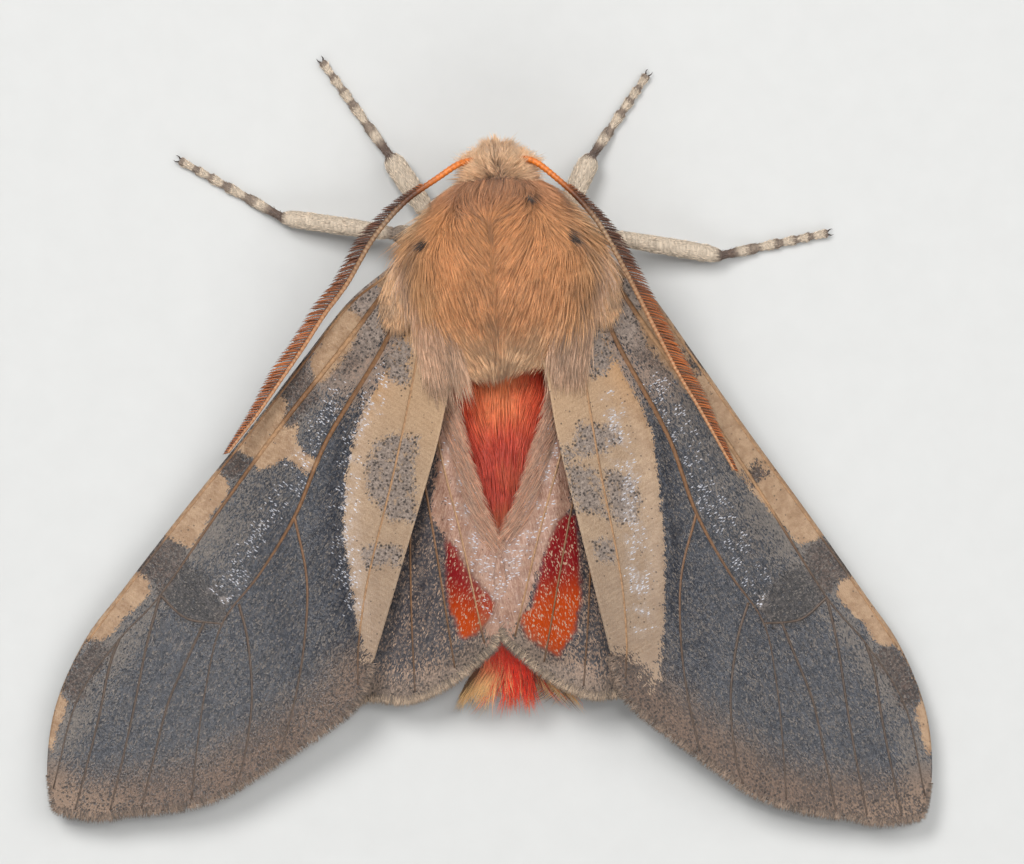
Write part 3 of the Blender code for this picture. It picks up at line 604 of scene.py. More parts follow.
def coat(
    piece, material, stations, count, seed, reach, manner, thickness=0.018, rings=5, clump=0.3, trim=None
):
    """Fur over a stretch of the body.

    piece is its name and slot, and reach the (first y, last y, first angle, last angle) of the roots, in
    millimetres and degrees. manner is three functions of across and y; the first and the last also get
    the random draws. style gives each hair's length, lift, how much its clump pulls it and the y that
    its tip stays short of. lie gives the sideways and forward run of the coat, and paint its colour.
    clump is the width of a clump. trim picks the hairs that stay.
    """
    style, lie, paint = manner
    draw = np.random.default_rng(SEED + seed)
    first, second = spread(count, seed)
    y = reach[0] + (reach[1] - reach[0]) * first + draw.normal(0, 0.05, count)
    angle = np.radians(reach[2] + (reach[3] - reach[2]) * second)
    radius = on_core(stations, y, angle, np.zeros(count))[2]
    keep = draw.uniform(0, 1, count) < radius / radius.max()
    y, angle, radius = y[keep], angle[keep], radius[keep]
    count = len(y)
    across = round_body(angle) * radius
    length, lift, pull, stop = style(across, y, draw)
    cell = np.floor(across / clump + 0.4 * field(plane(across, y), 0.7, seed))
    row = np.floor(y / (2.4 * clump) + 0.5 * (cell % 2))
    key = cell * 37 + row * 101
    to_middle = (cell + 0.5) * clump - across
    length = length * (0.88 + 0.24 * hashed(key, 1)) * draw.uniform(0.75, 1.15, count)
    lift = lift * (0.45 + 0.3 * hashed(key, 3) + 0.45 * draw.uniform(0, 1, count))
    stray = 0.4 * pull * (hashed(key, 2) - 0.5) + draw.normal(0, 0.035, count)
    _, far = walk(across, y, length, lie, stray, rings)
    ratio = (y - stop) / np.where(np.abs(y - far[:, -1]) < 0.05, 0.05, y - far[:, -1])
    length = length * np.clip(ratio, 0.15, 1.0)
    walked, far = walk(across, y, length, lie, stray, rings)
    share = np.linspace(0, 1, rings)[None]
    aside = walked - across[:, None] + pull * to_middle[:, None] * share**1.3
    turned = angle[:, None] - aside / radius[:, None]
    sunk = SKIN_DEPTH + 0.12
    height = -sunk + (sunk + lift[:, None]) * share**0.55
    paths, ups, _ = on_core(stations, far, turned, height)
    widths = thickness * draw.uniform(0.7, 1.3, count)
    chance = np.clip(0.35 * hashed(key, 4) + 0.65 * draw.uniform(0, 1, count), 0, 1)
    tint = paint(walked, far, draw)
    uv = body_uv(y, angle)
    looks = (paths, ups, widths, tint, chance, uv)
    if trim:
        keep = trim(paths)
        looks = [values[keep] for values in looks]
    name, slot = piece
    placed(hairs(name, material, *looks), slot)


def grow(name, slot, material, paths, widths, tint, draw, uv, ups=None):
    """Hairs along paths of their own, upright where ups isn't given, each with a random shade."""
    if ups is None:
        ups = np.tile((0.0, 0.0, 1.0), (len(widths), 1))
    chance = draw.uniform(0, 1, len(widths))
    placed(hairs(name, material, paths, ups, widths, tint, chance, uv), slot)


# How many hairs each coat starts with. For a spot it is how many it has, and for a comb the number of
# places for a tooth along the feeler.
HAIRS = {
    "thorax": 9000,
    "side": 2300,
    "breast": 2000,
    "head": 11000,
    "abdomen": 8900,
    "tail": 3500,
    "lobe": 1500,
    "tuft": 900,
    "spot": 30,
    "fringe_fore": 1900,
    "fringe_hind": 1700,
    "edge": 900,
    "comb": 122,
    "leg": 2700,
    "palp": 700,
}


# The lie of the thorax: hair runs back, from both sides of the parting to the whorl behind the head
# and then in towards the parting, and turns in again at the rear fringe.
PARTING_X = -0.35
WHORL_Y = 2.3
LIE_Y = (-5.2, -4.6, -3.6, -1.5, 0.5, 1.6, 2.3, 3.2)
LIE_INWARD = (0.8, 0.65, 0.45, 0.32, 0.5, 0.66, 0.72, 0.45)
FRINGE_X = (-2.8, -2.0, -0.8, 0.9, 2.4, 3.2)
FRINGE_Y = (-5.45, -5.6, -5.5, -5.25, -4.8, -4.6)


def backward(y):
    """The forward run of hair that lies straight back."""
    return np.full(y.shape, -1.0)


def thorax_lie(across, y):
    from_parting = across - PARTING_X
    side, off = np.sign(from_parting), np.abs(from_parting)
    near = np.where(y > 0.8, smoothstep(3.2, 1.4, off), smoothstep(4.4, 2.0, off))
    inward = np.interp(y, LIE_Y, LIE_INWARD) * near * smoothstep(0.0, np.where(y < -3.2, 1.4, 0.3), off)
    outward = 0.9 * smoothstep(1.3, 3.2, off) * smoothstep(0.6, 3.2, y)
    outward = outward + 0.3 * smoothstep(2.4, 4.2, off) * smoothstep(-1.5, 1.0, y)
    place = plane(across, y)
    sideways = side * (outward - inward) + 0.1 * field(place, 1.8, 1) + 0.05 * field(place, 0.5, 2)
    whorl = smoothstep(1.9, 0.9, off) * smoothstep(WHORL_Y + 0.1, WHORL_Y + 0.7, y)
    sideways = sideways * (1 - whorl) - side * whorl * off / np.maximum(y - WHORL_Y, 0.3)
    return sideways, backward(y)


def thorax_style(across, y, draw):
    off = np.abs(across - PARTING_X)
    place = plane(across, y)
    length = np.interp(y, (-4.6, -1.0, 1.5, 2.6, 4.0), (2.8, 2.8, 2.3, 1.5, 1.1))
    length = np.where(off > 6.5, np.minimum(length, 1.7), length)
    lift = 0.56 + 0.08 * field(place, 1.2, 2) + 0.3 * smoothstep(3.8, 5.0, off)
    fluff = draw.uniform(0, 1, len(y))
    lift = lift + 0.14 * smoothstep(3.6, 4.4, y) + 0.16 * fluff**4
    lift = lift + 0.8 * fluff**8 * smoothstep(2.4, 3.8, off)
    fringe = np.interp(across, FRINGE_X, FRINGE_Y) + 0.2 * draw.normal(0, 1, len(y))
    stop = np.where(off < 4.2, fringe, -99.0)
    return length, lift, 0.25, stop


def side_lie(across, y):
    """Long straight strands that run back over the wing roots."""
    return 0.05 * np.sin(across * 3.0 + y) - 0.1 * np.sign(across), backward(y)


def side_style(across, y, draw):
    place = plane(across, y)
    length = 3.2 + 0.7 * field(place, 0.8, 5) + 0.5 * draw.normal(0, 1, len(y))
    stop = -6.2 + 0.7 * field(place * (1.0, 0.1), 0.5, 6) + 0.5 * draw.normal(0, 1, len(y))
    lift = 0.4 + 0.25 * draw.uniform(0, 1, len(y))
    return np.maximum(length, 0.8), lift, 0.55, stop


def side_tint(across, y, draw):
    colour = blend(thorax_tint(across, y), PAINT["side"], np.full(y.shape, 0.75))
    dark = hashed(np.floor(across[:, :1] * 7.0), 5) > 0.75
    return blend(colour, PAINT["dusk"], 0.5 * dark * np.ones(y.shape))


# The y that the hair of the head reaches in the middle.
HEAD_FRONT = 6.68
# The right eye; the left one is its mirror image. The axis points out of its open side.
EYE_CENTRE = (0.95, 5.22, 3.84)
EYE_RADIUS = 0.85
EYE_AXIS = (0.86, 0.5, -0.12)


def clear_of_eyes(paths):
    """Which hairs keep off the open side of the eyes; the brows above may hang over them."""
    keep = np.ones(len(paths), bool)
    for sign in SIDES.values():
        side = np.array((sign, 1, 1))
        away = paths - np.array(EYE_CENTRE) * side
        distance = np.linalg.norm(away, axis=-1)
        away = away / np.maximum(distance, 0.01)[..., None]
        over = (distance < 1.9 * EYE_RADIUS) & (away @ (np.array(EYE_AXIS) * side) > 0.42)
        brow = (away[..., 2] > 0.5) | (paths[:, :1, 2] > 5.0)
        keep &= ~(over & ~brow)[:, 1:].any(axis=1)
    return keep


def head_lie(across, y):
    off = across + 0.15
    cheek = smoothstep(5.5, 4.8, y) * smoothstep(0.7, 1.6, np.abs(off))
    wander = 0.4 * field(plane(across, y), 0.35, 3)
    return 0.25 * off + 0.5 * cheek * np.sign(off) + wander, 0.8 - 0.45 * cheek


def head_style(across, y, draw):
    off = np.abs(across + 0.15)
    front = HEAD_FRONT - 0.42 * off**1.25 + 0.12 * draw.normal(0, 1, len(y))
    length = np.interp(y, (4.3, 4.7, 5.15, 5.6, 6.1), (0.1, 0.35, 0.85, 1.2, 1.05))
    length = np.where(off > 3.0, 0.6, length)
    side = 0.22 * smoothstep(0.8, 1.3, off) * smoothstep(4.9, 5.4, y)
    lift = 0.5 + 0.42 * smoothstep(6.0, 4.9, y) + side
    lift = lift + 0.2 * draw.normal(0, 1, len(y))
    return length, np.maximum(lift, 0.2), 0.12, front


def abdomen_lie(across, y):
    place = plane(across, y)
    inward = np.interp(y, (-12.0, -9.0, -6.0), (0.3, 0.36, 0.5))
    inward = inward * smoothstep(0.1, 1.6, np.abs(across + 0.2))
    sideways = -inward * np.sign(across + 0.2) + 0.14 * field(place, 1.4, 7) + 0.08 * field(place, 0.5, 8)
    return sideways, backward(y)


def abdomen_style(across, y, draw):
    length = 2.2 + 0.35 * field(plane(across, y), 1.5, 8)
    lift = 0.2 + 0.16 * draw.uniform(0, 1, len(y))
    return length, lift, 0.25, -99.0


def tail_lie(across, y):
    off = np.abs(across - 0.15)
    inward = 0.35 * smoothstep(0.8, 0.3, off) * (across - 0.15)
    outward = 0.22 * across * smoothstep(0.5, 1.0, off)
    return outward - inward + 0.08 * np.sin(across * 5.0), backward(y)


def tail_style(across, y, draw):
    length = 2.6 + 1.6 * draw.uniform(0, 1, len(y))
    tips = -22.3 + 0.35 * np.abs(across - 0.15) + 0.22 * draw.normal(0, 1, len(y))
    return length, 0.2 + 0.2 * draw.uniform(0, 1, len(y)), 1.0, tips


def tail_tint(across, y, draw):
    """The tail's brush: flame red in the middle, straw to the sides, and some locks darker as painted shade
    in the gaps between them.
    """
    off = np.abs(across[:, :1] - 0.15) + 0.2 * draw.normal(0, 1, (len(y), 1))
    straw = smoothstep(0.6, 0.95, off) * (0.3 + 0.7 * smoothstep(-19.4, -20.9, y))
    flame = blend(PAINT["flame"], PAINT["orange"], 0.5 * smoothstep(-21.0, -22.5, y))
    tint = blend(flame, PAINT["straw"], straw)
    # Painted shade: some locks darkened to stand for the shadow in the gaps between the locks.
    dark = 0.8 * (hashed(np.floor(across[:, :1] * 4.0), 3) > 0.7) * (off > 0.5) * np.ones(y.shape)
    return blend(tint, PAINT["rust"] * 0.5, dark)


# Furry lobes over the roots of the forewings: (middle x, half width, front y, rear y).
LOBES = {"left": (5.15, 0.6, 0.35, -1.9), "right": (4.85, 0.75, 0.85, -2.0)}


def make_lobe(side, fur):
    sign = SIDES[side]
    middle, half, front, rear = LOBES[side]
    draw = np.random.default_rng(SEED + 70 + sign)
    count = HAIRS["lobe"]
    first, second = spread(count, 70 + sign)
    outline = np.sqrt(np.maximum(1 - (2 * first - 1) ** 4, 0.05))
    off = (2 * second - 1) * outline
    root_x, root_y = middle + half * off, front + (rear - front) * first
    share = np.linspace(0, 1, 5)[None]
    length = draw.uniform(0.9, 1.5, count)[:, None]
    slant = (0.14 + 0.22 * off + 0.07 * draw.normal(0, 1, count))[:, None]
    x = root_x[:, None] + slant * length * share
    y = root_y[:, None] - length * share
    turn = math.radians(FOREWING_SWEEP[side])
    out, back = x - FOREWING_ROOT[0], FOREWING_ROOT[1] - y
    u = out * math.sin(turn) + back * math.cos(turn)
    v = back * math.sin(turn) - out * math.cos(turn)
    dome = (0.35 + 0.5 * (1 - off**2) * outline + 0.2 * draw.uniform(0, 1, count))[:, None]
    lift = -0.05 + dome * share**0.5 * (1 - 0.35 * share**2)
    z = forewing_height(sign * x, y, u, np.maximum(v, -1.5)) + lift
    paths = np.stack((sign * x, y, z), axis=-1)
    wobble = field(np.stack((x, y), axis=-1), 0.8, 75)
    tint = PAINT["tegula"] * (1 + 0.1 * wobble)[..., None]
    tint = blend(tint, PAINT["dusk"], 0.5 * smoothstep(0.25, 0.7, wobble) * smoothstep(-0.6, -2.4, y))
    uv = np.stack((0.06 + 0.1 * root_x / 6, (root_y - UNWRAP_END) / UNWRAP_LENGTH), axis=1)
    widths = 0.02 * draw.uniform(0.7, 1.3, count)
    grow("coat_lobe_" + side, "thorax_fur", fur, paths, widths, tint, draw, uv)


def tuft(seed, lengths, slimming, waver):
    """Random roots on a disc of radius one, for a tuft that stands out from it.

    It gives the draws that follow, the turn of each root and its distance from the middle, its place
    sideways and up, the length of its hair and how far that strays.
    """
    draw = np.random.default_rng(SEED + seed)
    count = HAIRS["tuft"]
    turn = draw.uniform(0, 2 * math.pi, count)
    out = np.sqrt(draw.uniform(0, 1, count))
    length = draw.uniform(*lengths, count) * (slimming[0] - slimming[1] * out)
    side, up = (out * np.cos(turn))[:, None], (out * np.sin(turn))[:, None]
    return draw, turn, out, side, up, length[:, None], draw.normal(0, waver, (2, count, 1))


def make_face(fur):
    """The tuft on the front of the head, spreading forward and down from between the eyes."""
    front, middle, half, tall = FACE_END
    draw, turn, out, side, up, length, stray = tuft(66, (0.3, 0.55), (1.05, 0.35), 0.1)
    share = np.linspace(0, 1, 4)[None]
    x = half * side * (1 + 0.55 * share) + stray[0] * share
    y = front - 0.2 * out[:, None] ** 2 + length * share * (1 - 0.2 * share)
    z = middle + tall * up * (1 + 0.3 * share) + stray[1] * share - 0.25 * share**2
    paths = np.stack((x, y, z), axis=-1)
    tint = PAINT["head"] * draw.uniform(0.75, 1.1, (len(out), 1))
    widths = draw.uniform(0.012, 0.018, len(out))
    uv = body_uv(front + 0.3 - 0.3 * out, turn)
    grow("coat_face", "head_fur", fur, paths, widths, tint, draw, uv)


def make_tail_core(fur):
    """Hair that fills the tail's brush, rooted on the end of the abdomen."""
    end, half, centre, tall = TAIL_END
    draw, turn, out, side, up, length, stray = tuft(65, (1.2, 2.5), (1.1, 0.3), 0.12)
    count = len(out)
    share = np.linspace(0, 1, 5)[None]
    x = half * side * (1 + 0.45 * share) + stray[0] * length * share
    y = end - length * share
    z = centre + tall * up * (1 - 0.75 * share) + 0.3 * stray[1] * length * share - 0.1 * share
    paths = np.stack((x, y, np.maximum(z, 0.1)), axis=-1)
    straw = smoothstep(0.5, 1.0, np.abs(x[:, 0]) + 0.2 * draw.normal(0, 1, count))
    tint = blend(PAINT["flame"], PAINT["straw"], straw) * draw.uniform(0.6, 1.1, (count, 1))
    widths = draw.uniform(0.014, 0.024, count)
    uv = body_uv(end + 0.3 + 0.5 * out, turn)
    grow("coat_brush", "abdomen_fur", fur, paths, widths, tint, draw, uv)


def make_spots(fur):
    """Short black tufts that stand in the fur of the thorax."""
    draw = np.random.default_rng(SEED + 60)
    spots = [spot for spot in SPOTS if spot[3] >= 0.6]
    x, height, size, _ = np.repeat(np.array(spots), HAIRS["spot"], axis=0).T
    count = len(x)
    turn = draw.uniform(0, 2 * math.pi, count)
    out = size * 0.55 * np.abs(draw.normal(0, 1, count))
    across, y = x + out * np.cos(turn), height + out * np.sin(turn) * 1.3
    radius = on_core(CLOAK, y, math.pi / 2 - x / 3.5, np.zeros(count))[2]
    length = draw.uniform(0.25, 0.55, count)
    walked, far = walk(across, y, length, thorax_lie, draw.normal(0, 0.3, count), 5)
    share = np.linspace(0, 1, 5)[None]
    rise = 0.3 + (0.4 + 0.2 * draw.uniform(0, 1, count))[:, None] * share**0.7
    paths, ups, _ = on_core(CLOAK, far, math.pi / 2 - walked / radius[:, None], rise)
    tint = blend(PAINT["spot"], PAINT["dusk"], 0.35 * draw.uniform(0, 1, count) ** 2)
    widths = draw.uniform(0.014, 0.022, count)
    uv = body_uv(y, math.pi / 2 - across / radius)
    grow("coat_spots", "thorax_fur", fur, paths, widths, tint, draw, uv, ups)


def make_coats():
    fur = fur_material("moth_fur")
    silky = fur_material("moth_red_fur", 0.42, 0.1, 0.88, 0.8)
    downy = fur_material("moth_down", 0.55, 0.2, 0.84, 0.78)
    cloak = (thorax_style, thorax_lie, thorax_tint)
    shawl = (side_style, side_lie, side_tint)
    seed = 10
    for side, (low, high) in {"right": (-10, 90), "left": (90, 190)}.items():
        for part, (first, last) in {"front": (4.65, 0.9), "rear": (0.9, -4.6)}.items():
            piece, reach = (f"coat_{part}_{side}", "thorax_fur"), (first, last, low, high)
            coat(piece, fur, CLOAK, HAIRS["thorax"], seed, reach, cloak)
            seed += 1
    for side, (low, high) in {"right": (6, 56), "left": (126, 174)}.items():
        piece, reach = ("coat_side_" + side, "thorax_fur"), (0.2, -4.6, low, high)
        coat(piece, fur, SHAWL, HAIRS["side"], seed, reach, shawl, clump=0.22)
        make_lobe(side, downy)
        seed += 1
    make_spots(fur)
    piece, reach = ("coat_breast", "thorax_fur"), (4.0, -4.2, 190, 350)
    coat(piece, fur, THORAX, HAIRS["breast"], seed, reach, cloak, 0.035, 4)
    piece, reach = ("coat_head", "head_fur"), (6.1, 4.3, -90, 270)
    manner = (head_style, head_lie, head_tint)
    coat(piece, downy, HEAD, HAIRS["head"], 30, reach, manner, 0.015, 4, 0.2, clear_of_eyes)
    make_face(downy)
    piece, reach = ("coat_abdomen", "abdomen_fur"), (-4.7, -18.6, -90, 270)
    manner = (abdomen_style, abdomen_lie, abdomen_tint)
    coat(piece, silky, ABDOMEN, HAIRS["abdomen"], 40, reach, manner, 0.015)
    make_tail_core(silky)
    piece, reach = ("coat_tail", "abdomen_fur"), (-17.4, -19.75, -90, 270)
    coat(piece, silky, BRUSH, HAIRS["tail"], 50, reach, (tail_style, tail_lie, tail_tint), 0.018, 6, 0.4)


# Wings. u runs from the root to the apex and v from the leading edge towards the body.
FOREWING_ROOT = (5.3, 0.5)
FOREWING_SWEEP = {"left": 33.7, "right": 26.7}
FOREWING_COSTA = (
    (-1.6, 1.2), (-0.9, 0.3), (0.5, -0.2), (2.9, -1.0), (6.5, -1.45), (11.0, -1.95), (16.0, -2.6),
    (21.0, -3.15), (24.2, -3.45), (27.7, -3.0), (30.6, -1.75), (32.3, -0.3),
)
FOREWING_REAR = (
    (-1.6, 1.2), (0.0, 4.6), (2.0, 5.2), (4.0, 5.65), (7.0, 6.65), (12.0, 8.0), (16.5, 9.2), (18.9, 9.8),
    (20.2, 9.75), (22.2, 8.95), (25.3, 7.5), (27.5, 6.3), (29.4, 4.4), (30.4, 3.0), (31.5, 1.75),
    (32.3, -0.3),
)
FOREWING_VEINS = {
    "costa": (
        (0.5, 0.1), (2.9, -0.85), (6.5, -1.3), (11.0, -1.8), (16.0, -2.45), (21.0, -3.0), (24.2, -3.3),
    ),
    "radius": (
        (0.5, 0.4), (4.6, 0.0), (9.4, -0.6), (14.5, -1.05), (20.3, -1.4), (23.3, -2.0), (27.0, -2.2),
        (31.4, -0.9),
    ),
    "radius_4": ((23.3, -2.0), (24.7, -1.7), (27.5, -0.7), (31.7, 0.6)),
    "radius_5": ((20.3, -1.4), (22.7, -0.7), (25.7, 0.4), (28.3, 1.3), (30.8, 2.1)),
    "cell_end": ((20.3, -1.4), (20.6, 0.3), (19.9, 2.0)),
    "media_1": ((20.3, 1.2), (22.0, 1.4), (24.6, 1.75), (27.4, 2.6), (29.9, 3.4)),
    "cubitus": (
        (0.6, 1.3), (4.1, 1.7), (9.3, 1.7), (13.3, 2.3), (16.8, 2.3), (19.9, 2.0), (23.1, 3.0),
        (26.1, 4.3), (28.2, 5.3),
    ),
    "cubitus_1": ((18.6, 2.2), (20.0, 3.6), (22.4, 5.3), (25.1, 6.5), (26.4, 6.8)),
    "cubitus_2": ((13.4, 2.3), (15.8, 4.5), (18.7, 6.1), (21.5, 7.2), (23.9, 7.9)),
    "anal": ((0.8, 2.4), (5.5, 4.2), (9.2, 5.5), (14.2, 7.1), (17.2, 8.4), (18.9, 9.4)),
}
HINDWING_ROOT = (3.8, -1.5)
HINDWING_SWEEP = {"left": 17.6, "right": 12.2}
HINDWING_COSTA = (
    (-0.6, -0.2), (3.0, -0.9), (7.0, -1.9), (12.0, -2.6), (17.0, -2.4), (20.2, -1.4), (20.9, -0.2),
)
HINDWING_REAR = (
    (-0.6, -0.2), (-0.4, 0.7), (1.5, 1.4), (4.0, 2.4), (7.1, 4.1), (9.4, 5.6), (10.9, 6.8), (12.6, 7.6),
    (15.2, 7.9), (16.7, 7.15), (18.3, 5.9), (19.5, 4.3), (19.8, 2.7), (20.5, 1.3), (20.9, -0.2),
)
HINDWING_VEINS = {
    "radial": ((0.6, 0.2), (5.0, -0.7), (10.0, -1.2), (15.0, -1.2), (20.2, -0.3)),
    "media": ((5.0, -0.7), (10.0, 0.3), (15.0, 1.2), (19.7, 2.2)),
    "cubitus_1": ((0.6, 0.6), (6.0, 1.0), (11.0, 2.2), (15.5, 3.5), (18.9, 4.6)),
    "cubitus_2": ((6.0, 1.0), (11.0, 3.4), (17.2, 6.2)),
    "anal": ((0.8, 0.6), (6.0, 2.2), (11.0, 4.9), (15.6, 7.3)),
}
# The hindwings lie over the abdomen, clear of its fur, and come down to a low height beside it.
DRAPE_LOW = 1.1
DRAPE_SPREAD = 6.5
DRAPE_CLEARANCE = 0.85
# The forewings rest on them near the body, this much higher, and reach past them further out.
WING_STACK = 1.08
STACK_REACH = (10.6, 14.6)
# The leading edge is low but for its root, and the wing slopes up behind it like a roof.
COSTA_LOW = 1.0
COSTA_RISE = 3.6
COSTA_FALL = 6.5
ROOF_SLOPE = 0.13
ROOF_START = 3.0
ROOF_BLEND = 0.7
MEMBRANE_HALF = 0.03

# Cream scales of the forewing: the dorsal stripe, and patches along the leading edge.
STRIPE = {
    "left": (
        (3.2, 2.0), (4.7, 2.35), (8.0, 2.6), (10.4, 3.5), (12.4, 4.6), (14.0, 5.8), (15.8, 7.3),
        (17.3, 8.7), (18.4, 9.9), (12.0, 9.0), (4.0, 6.6), (-1.0, 5.2), (-1.6, 2.4), (0.6, 1.9),
    ),
    "right": (
        (3.2, 1.9), (4.7, 2.1), (7.5, 2.15), (9.1, 2.4), (11.3, 3.3), (13.3, 4.1), (15.8, 5.4),
        (18.0, 6.7), (19.6, 7.9), (19.8, 8.9), (18.6, 10.0), (12.0, 9.0), (4.0, 6.6), (-1.0, 5.2),
        (-1.6, 2.4), (0.6, 1.9),
    ),
}
COSTAL_CREAM = {
    "left": (
        (
            (2.9, -1.0), (4.2, -1.2), (6.4, -1.1), (7.1, -0.4), (6.9, 0.1), (5.5, 0.45), (4.2, 0.35),
            (3.2, 0.1),
        ),
        (
            (8.4, -1.5), (12.3, -2.0), (12.0, -1.0), (12.4, -0.5), (11.6, 0.2), (11.1, 0.4), (11.3, 1.8),
            (10.5, 1.9), (10.2, 0.4), (9.2, 0.0), (9.8, -0.6), (8.6, -0.9),
        ),
        ((13.3, -2.4), (17.9, -3.1), (17.6, -1.3), (15.6, -1.3), (14.2, -1.1), (13.6, -1.5)),
    ),
    "right": (
        (
            (2.6, -0.9), (8.0, -1.9), (12.6, -2.3), (17.6, -3.1), (17.4, -1.5), (15.0, -0.95),
            (12.4, -0.4), (9.0, -0.5), (6.4, 0.1), (5.0, 0.6), (3.2, 0.2),
        ),
    ),
}
OUTER_CREAM = (
    (
        (19.9, -3.4), (24.2, -3.8), (24.0, -2.8), (23.3, -2.45), (22.1, -2.3), (21.1, -1.95),
        (20.4, -1.9), (19.8, -2.4),
    ),
    ((24.0, -3.7), (27.0, -3.5), (27.2, -3.05), (25.4, -3.3), (24.0, -3.25)),
    ((27.0, -3.5), (29.4, -2.9), (29.8, -2.0), (28.6, -2.25), (27.3, -2.55)),
    ((-1.6, 0.6), (1.2, -0.4), (2.2, 0.5), (3.3, 0.9), (2.9, 1.6), (1.8, 2.2), (0.0, 2.2), (-1.6, 2.0)),
)
# Grey patches of the forewing: between those along the leading edge, elsewhere, and in the stripe.
COSTAL_GREY = {
    "left": (
        ((6.4, -1.6), (8.5, -1.7), (8.7, -0.9), (9.8, -0.5), (9.2, 0.0), (7.6, 0.1), (7.1, -0.4)),
        ((12.1, -2.3), (13.4, -2.4), (13.5, -1.4), (13.0, -1.0), (12.2, -1.0)),
    ),
    "right": (
        ((5.6, -1.7), (7.3, -1.8), (7.4, -1.1), (6.0, -1.0)),
        ((12.6, -1.7), (13.4, -1.8), (13.6, -0.9), (12.9, -0.7)),
    ),
}
GREY = (
    (
        (1.3, -0.8), (2.9, -1.2), (3.1, 0.1), (4.2, 0.4), (6.9, 0.2), (6.0, 0.9), (4.6, 1.4), (3.4, 1.5),
        (2.3, 0.6), (1.6, 0.3),
    ),
    (
        (17.7, -2.7), (18.6, -3.4), (20.0, -3.4), (19.8, -2.2), (20.3, -1.3), (20.8, 0.2), (20.4, 1.6),
        (19.6, 2.0), (18.6, 1.6), (18.3, 0.2), (18.2, -1.2), (17.6, -1.7),
    ),
    (
        (24.0, -3.1), (25.2, -3.35), (26.8, -3.2), (27.2, -2.5), (26.9, -2.0), (25.5, -2.2), (24.6, -1.9),
        (23.8, -2.2),
    ),
    ((2.8, 2.0), (4.6, 2.1), (5.1, 3.0), (4.9, 3.7), (4.1, 3.3), (3.0, 2.8)),
)
STRIPE_GREY = {
    "left": (
        (
            (8.0, 3.9), (7.1, 4.6), (6.8, 5.5), (8.4, 6.2), (10.3, 7.6), (11.0, 6.6), (10.4, 4.7),
            (9.2, 4.0),
        ),
        ((13.0, 6.0), (12.2, 6.9), (11.9, 7.8), (12.7, 8.0), (13.7, 6.7)),
    ),
    "right": (
        ((6.6, 5.3), (7.2, 4.4), (7.8, 3.7), (8.5, 3.9), (8.4, 5.1), (8.1, 6.0), (7.4, 5.9)),
        (
            (7.2, 6.6), (7.9, 5.9), (8.0, 6.7), (9.0, 5.8), (9.5, 5.7), (10.6, 6.1), (11.6, 6.3),
            (10.9, 6.7), (10.4, 7.4), (9.1, 7.2),
        ),
        ((9.3, 5.4), (9.8, 4.7), (10.4, 4.3), (11.5, 4.5), (12.2, 5.2), (12.0, 5.9), (11.2, 6.0)),
        ((12.2, 7.6), (12.4, 6.7), (13.1, 6.8), (13.5, 7.1), (13.1, 7.7)),
    ),
}
# Where painted highlights go along a fold: of the hindwings, and of each forewing.
SHINING_FOLD = {
    "hind": ((4.0, 1.6), (6.3, 2.8), (8.0, 3.8), (9.8, 4.9), (11.5, 6.0), (13.0, 7.4)),
    "left": ((3.2, 2.0), (4.7, 2.35), (8.0, 2.6), (10.4, 3.5), (12.4, 4.6), (14.0, 5.8), (15.8, 7.3)),
    "right": ((6.6, 3.4), (8.7, 4.1), (10.3, 4.5), (11.9, 5.2), (13.6, 5.8), (15.2, 6.6), (16.8, 7.4)),
}
# The ripple in the forewing's cell, and how strongly the painted glints on it show.
CELL_RIPPLE = ((7.0, 0.9), (12.0, 1.3), (18.5, 1.3))
CELL_SHINE = {"left": 0.78, "right": 1.0}
# Height and width of the fold along the stripe.
STRIPE_FOLD = 0.24
FOLD_WIDTH = 0.42

# Where the outer margin starts: its u on the forewing, and its place in the hindwing's rear outline.
FORE_MARGIN = 18.9
HIND_MARGIN = 190
# The distance that stands for a marking that isn't there.
FAR_OUT = -9.0
# The cream panel of the hindwings.
HIND_CREAM = (
    (2.0, 1.2), (5.0, 2.2), (10.0, 3.0), (12.4, 5.2), (14.6, 6.6), (16.2, 8.4), (12.0, 8.6), (8.0, 6.4),
    (2.0, 2.8),
)
# A clear window in each hindwing over the red abdomen, as an outline in body x and y.
RED_WINDOW = {
    "left": (
        (-3.3, -13.1), (-2.65, -13.9), (-1.85, -15.4), (-0.85, -16.5), (-1.0, -17.15), (-1.75, -18.1),
        (-2.65, -18.4), (-3.0, -17.55), (-3.35, -16.4), (-3.35, -14.9),
    ),
    "right": (
        (2.25, -12.6), (2.8, -12.2), (3.25, -12.4), (3.4, -14.5), (3.3, -16.8), (3.0, -18.15),
        (2.15, -19.4), (1.2, -19.0), (0.4, -18.2), (0.2, -17.4), (0.9, -16.7), (1.2, -15.4), (1.7, -13.8),
    ),
}


def drape(x, y):
    """Height of a membrane that lies over the abdomen and comes down beside it."""
    _, centre, tall = section(ABDOMEN, y)
    top = centre + tall + DRAPE_CLEARANCE
    return DRAPE_LOW + (top - DRAPE_LOW) * np.exp(-((x / DRAPE_SPREAD) ** 2))


def forewing_height(x, y, u, v):
    """Middle of the forewing: low along its leading edge, and resting on the hindwing near the body."""
    roof = COSTA_LOW + COSTA_RISE * np.exp(-np.maximum(u, 0) / COSTA_FALL) + ROOF_SLOPE * (v + ROOF_START)
    near, far = STACK_REACH
    resting = drape(x, y) + WING_STACK * (1 - smoothstep(near, far, np.abs(x)))
    return 0.5 * (roof + resting + np.hypot(roof - resting, ROOF_BLEND))


def hindwing_height(x, y, u, v):
    """Middle of the hindwing. It takes what forewing_height takes, and needs x and y alone."""
    return drape(x, y)


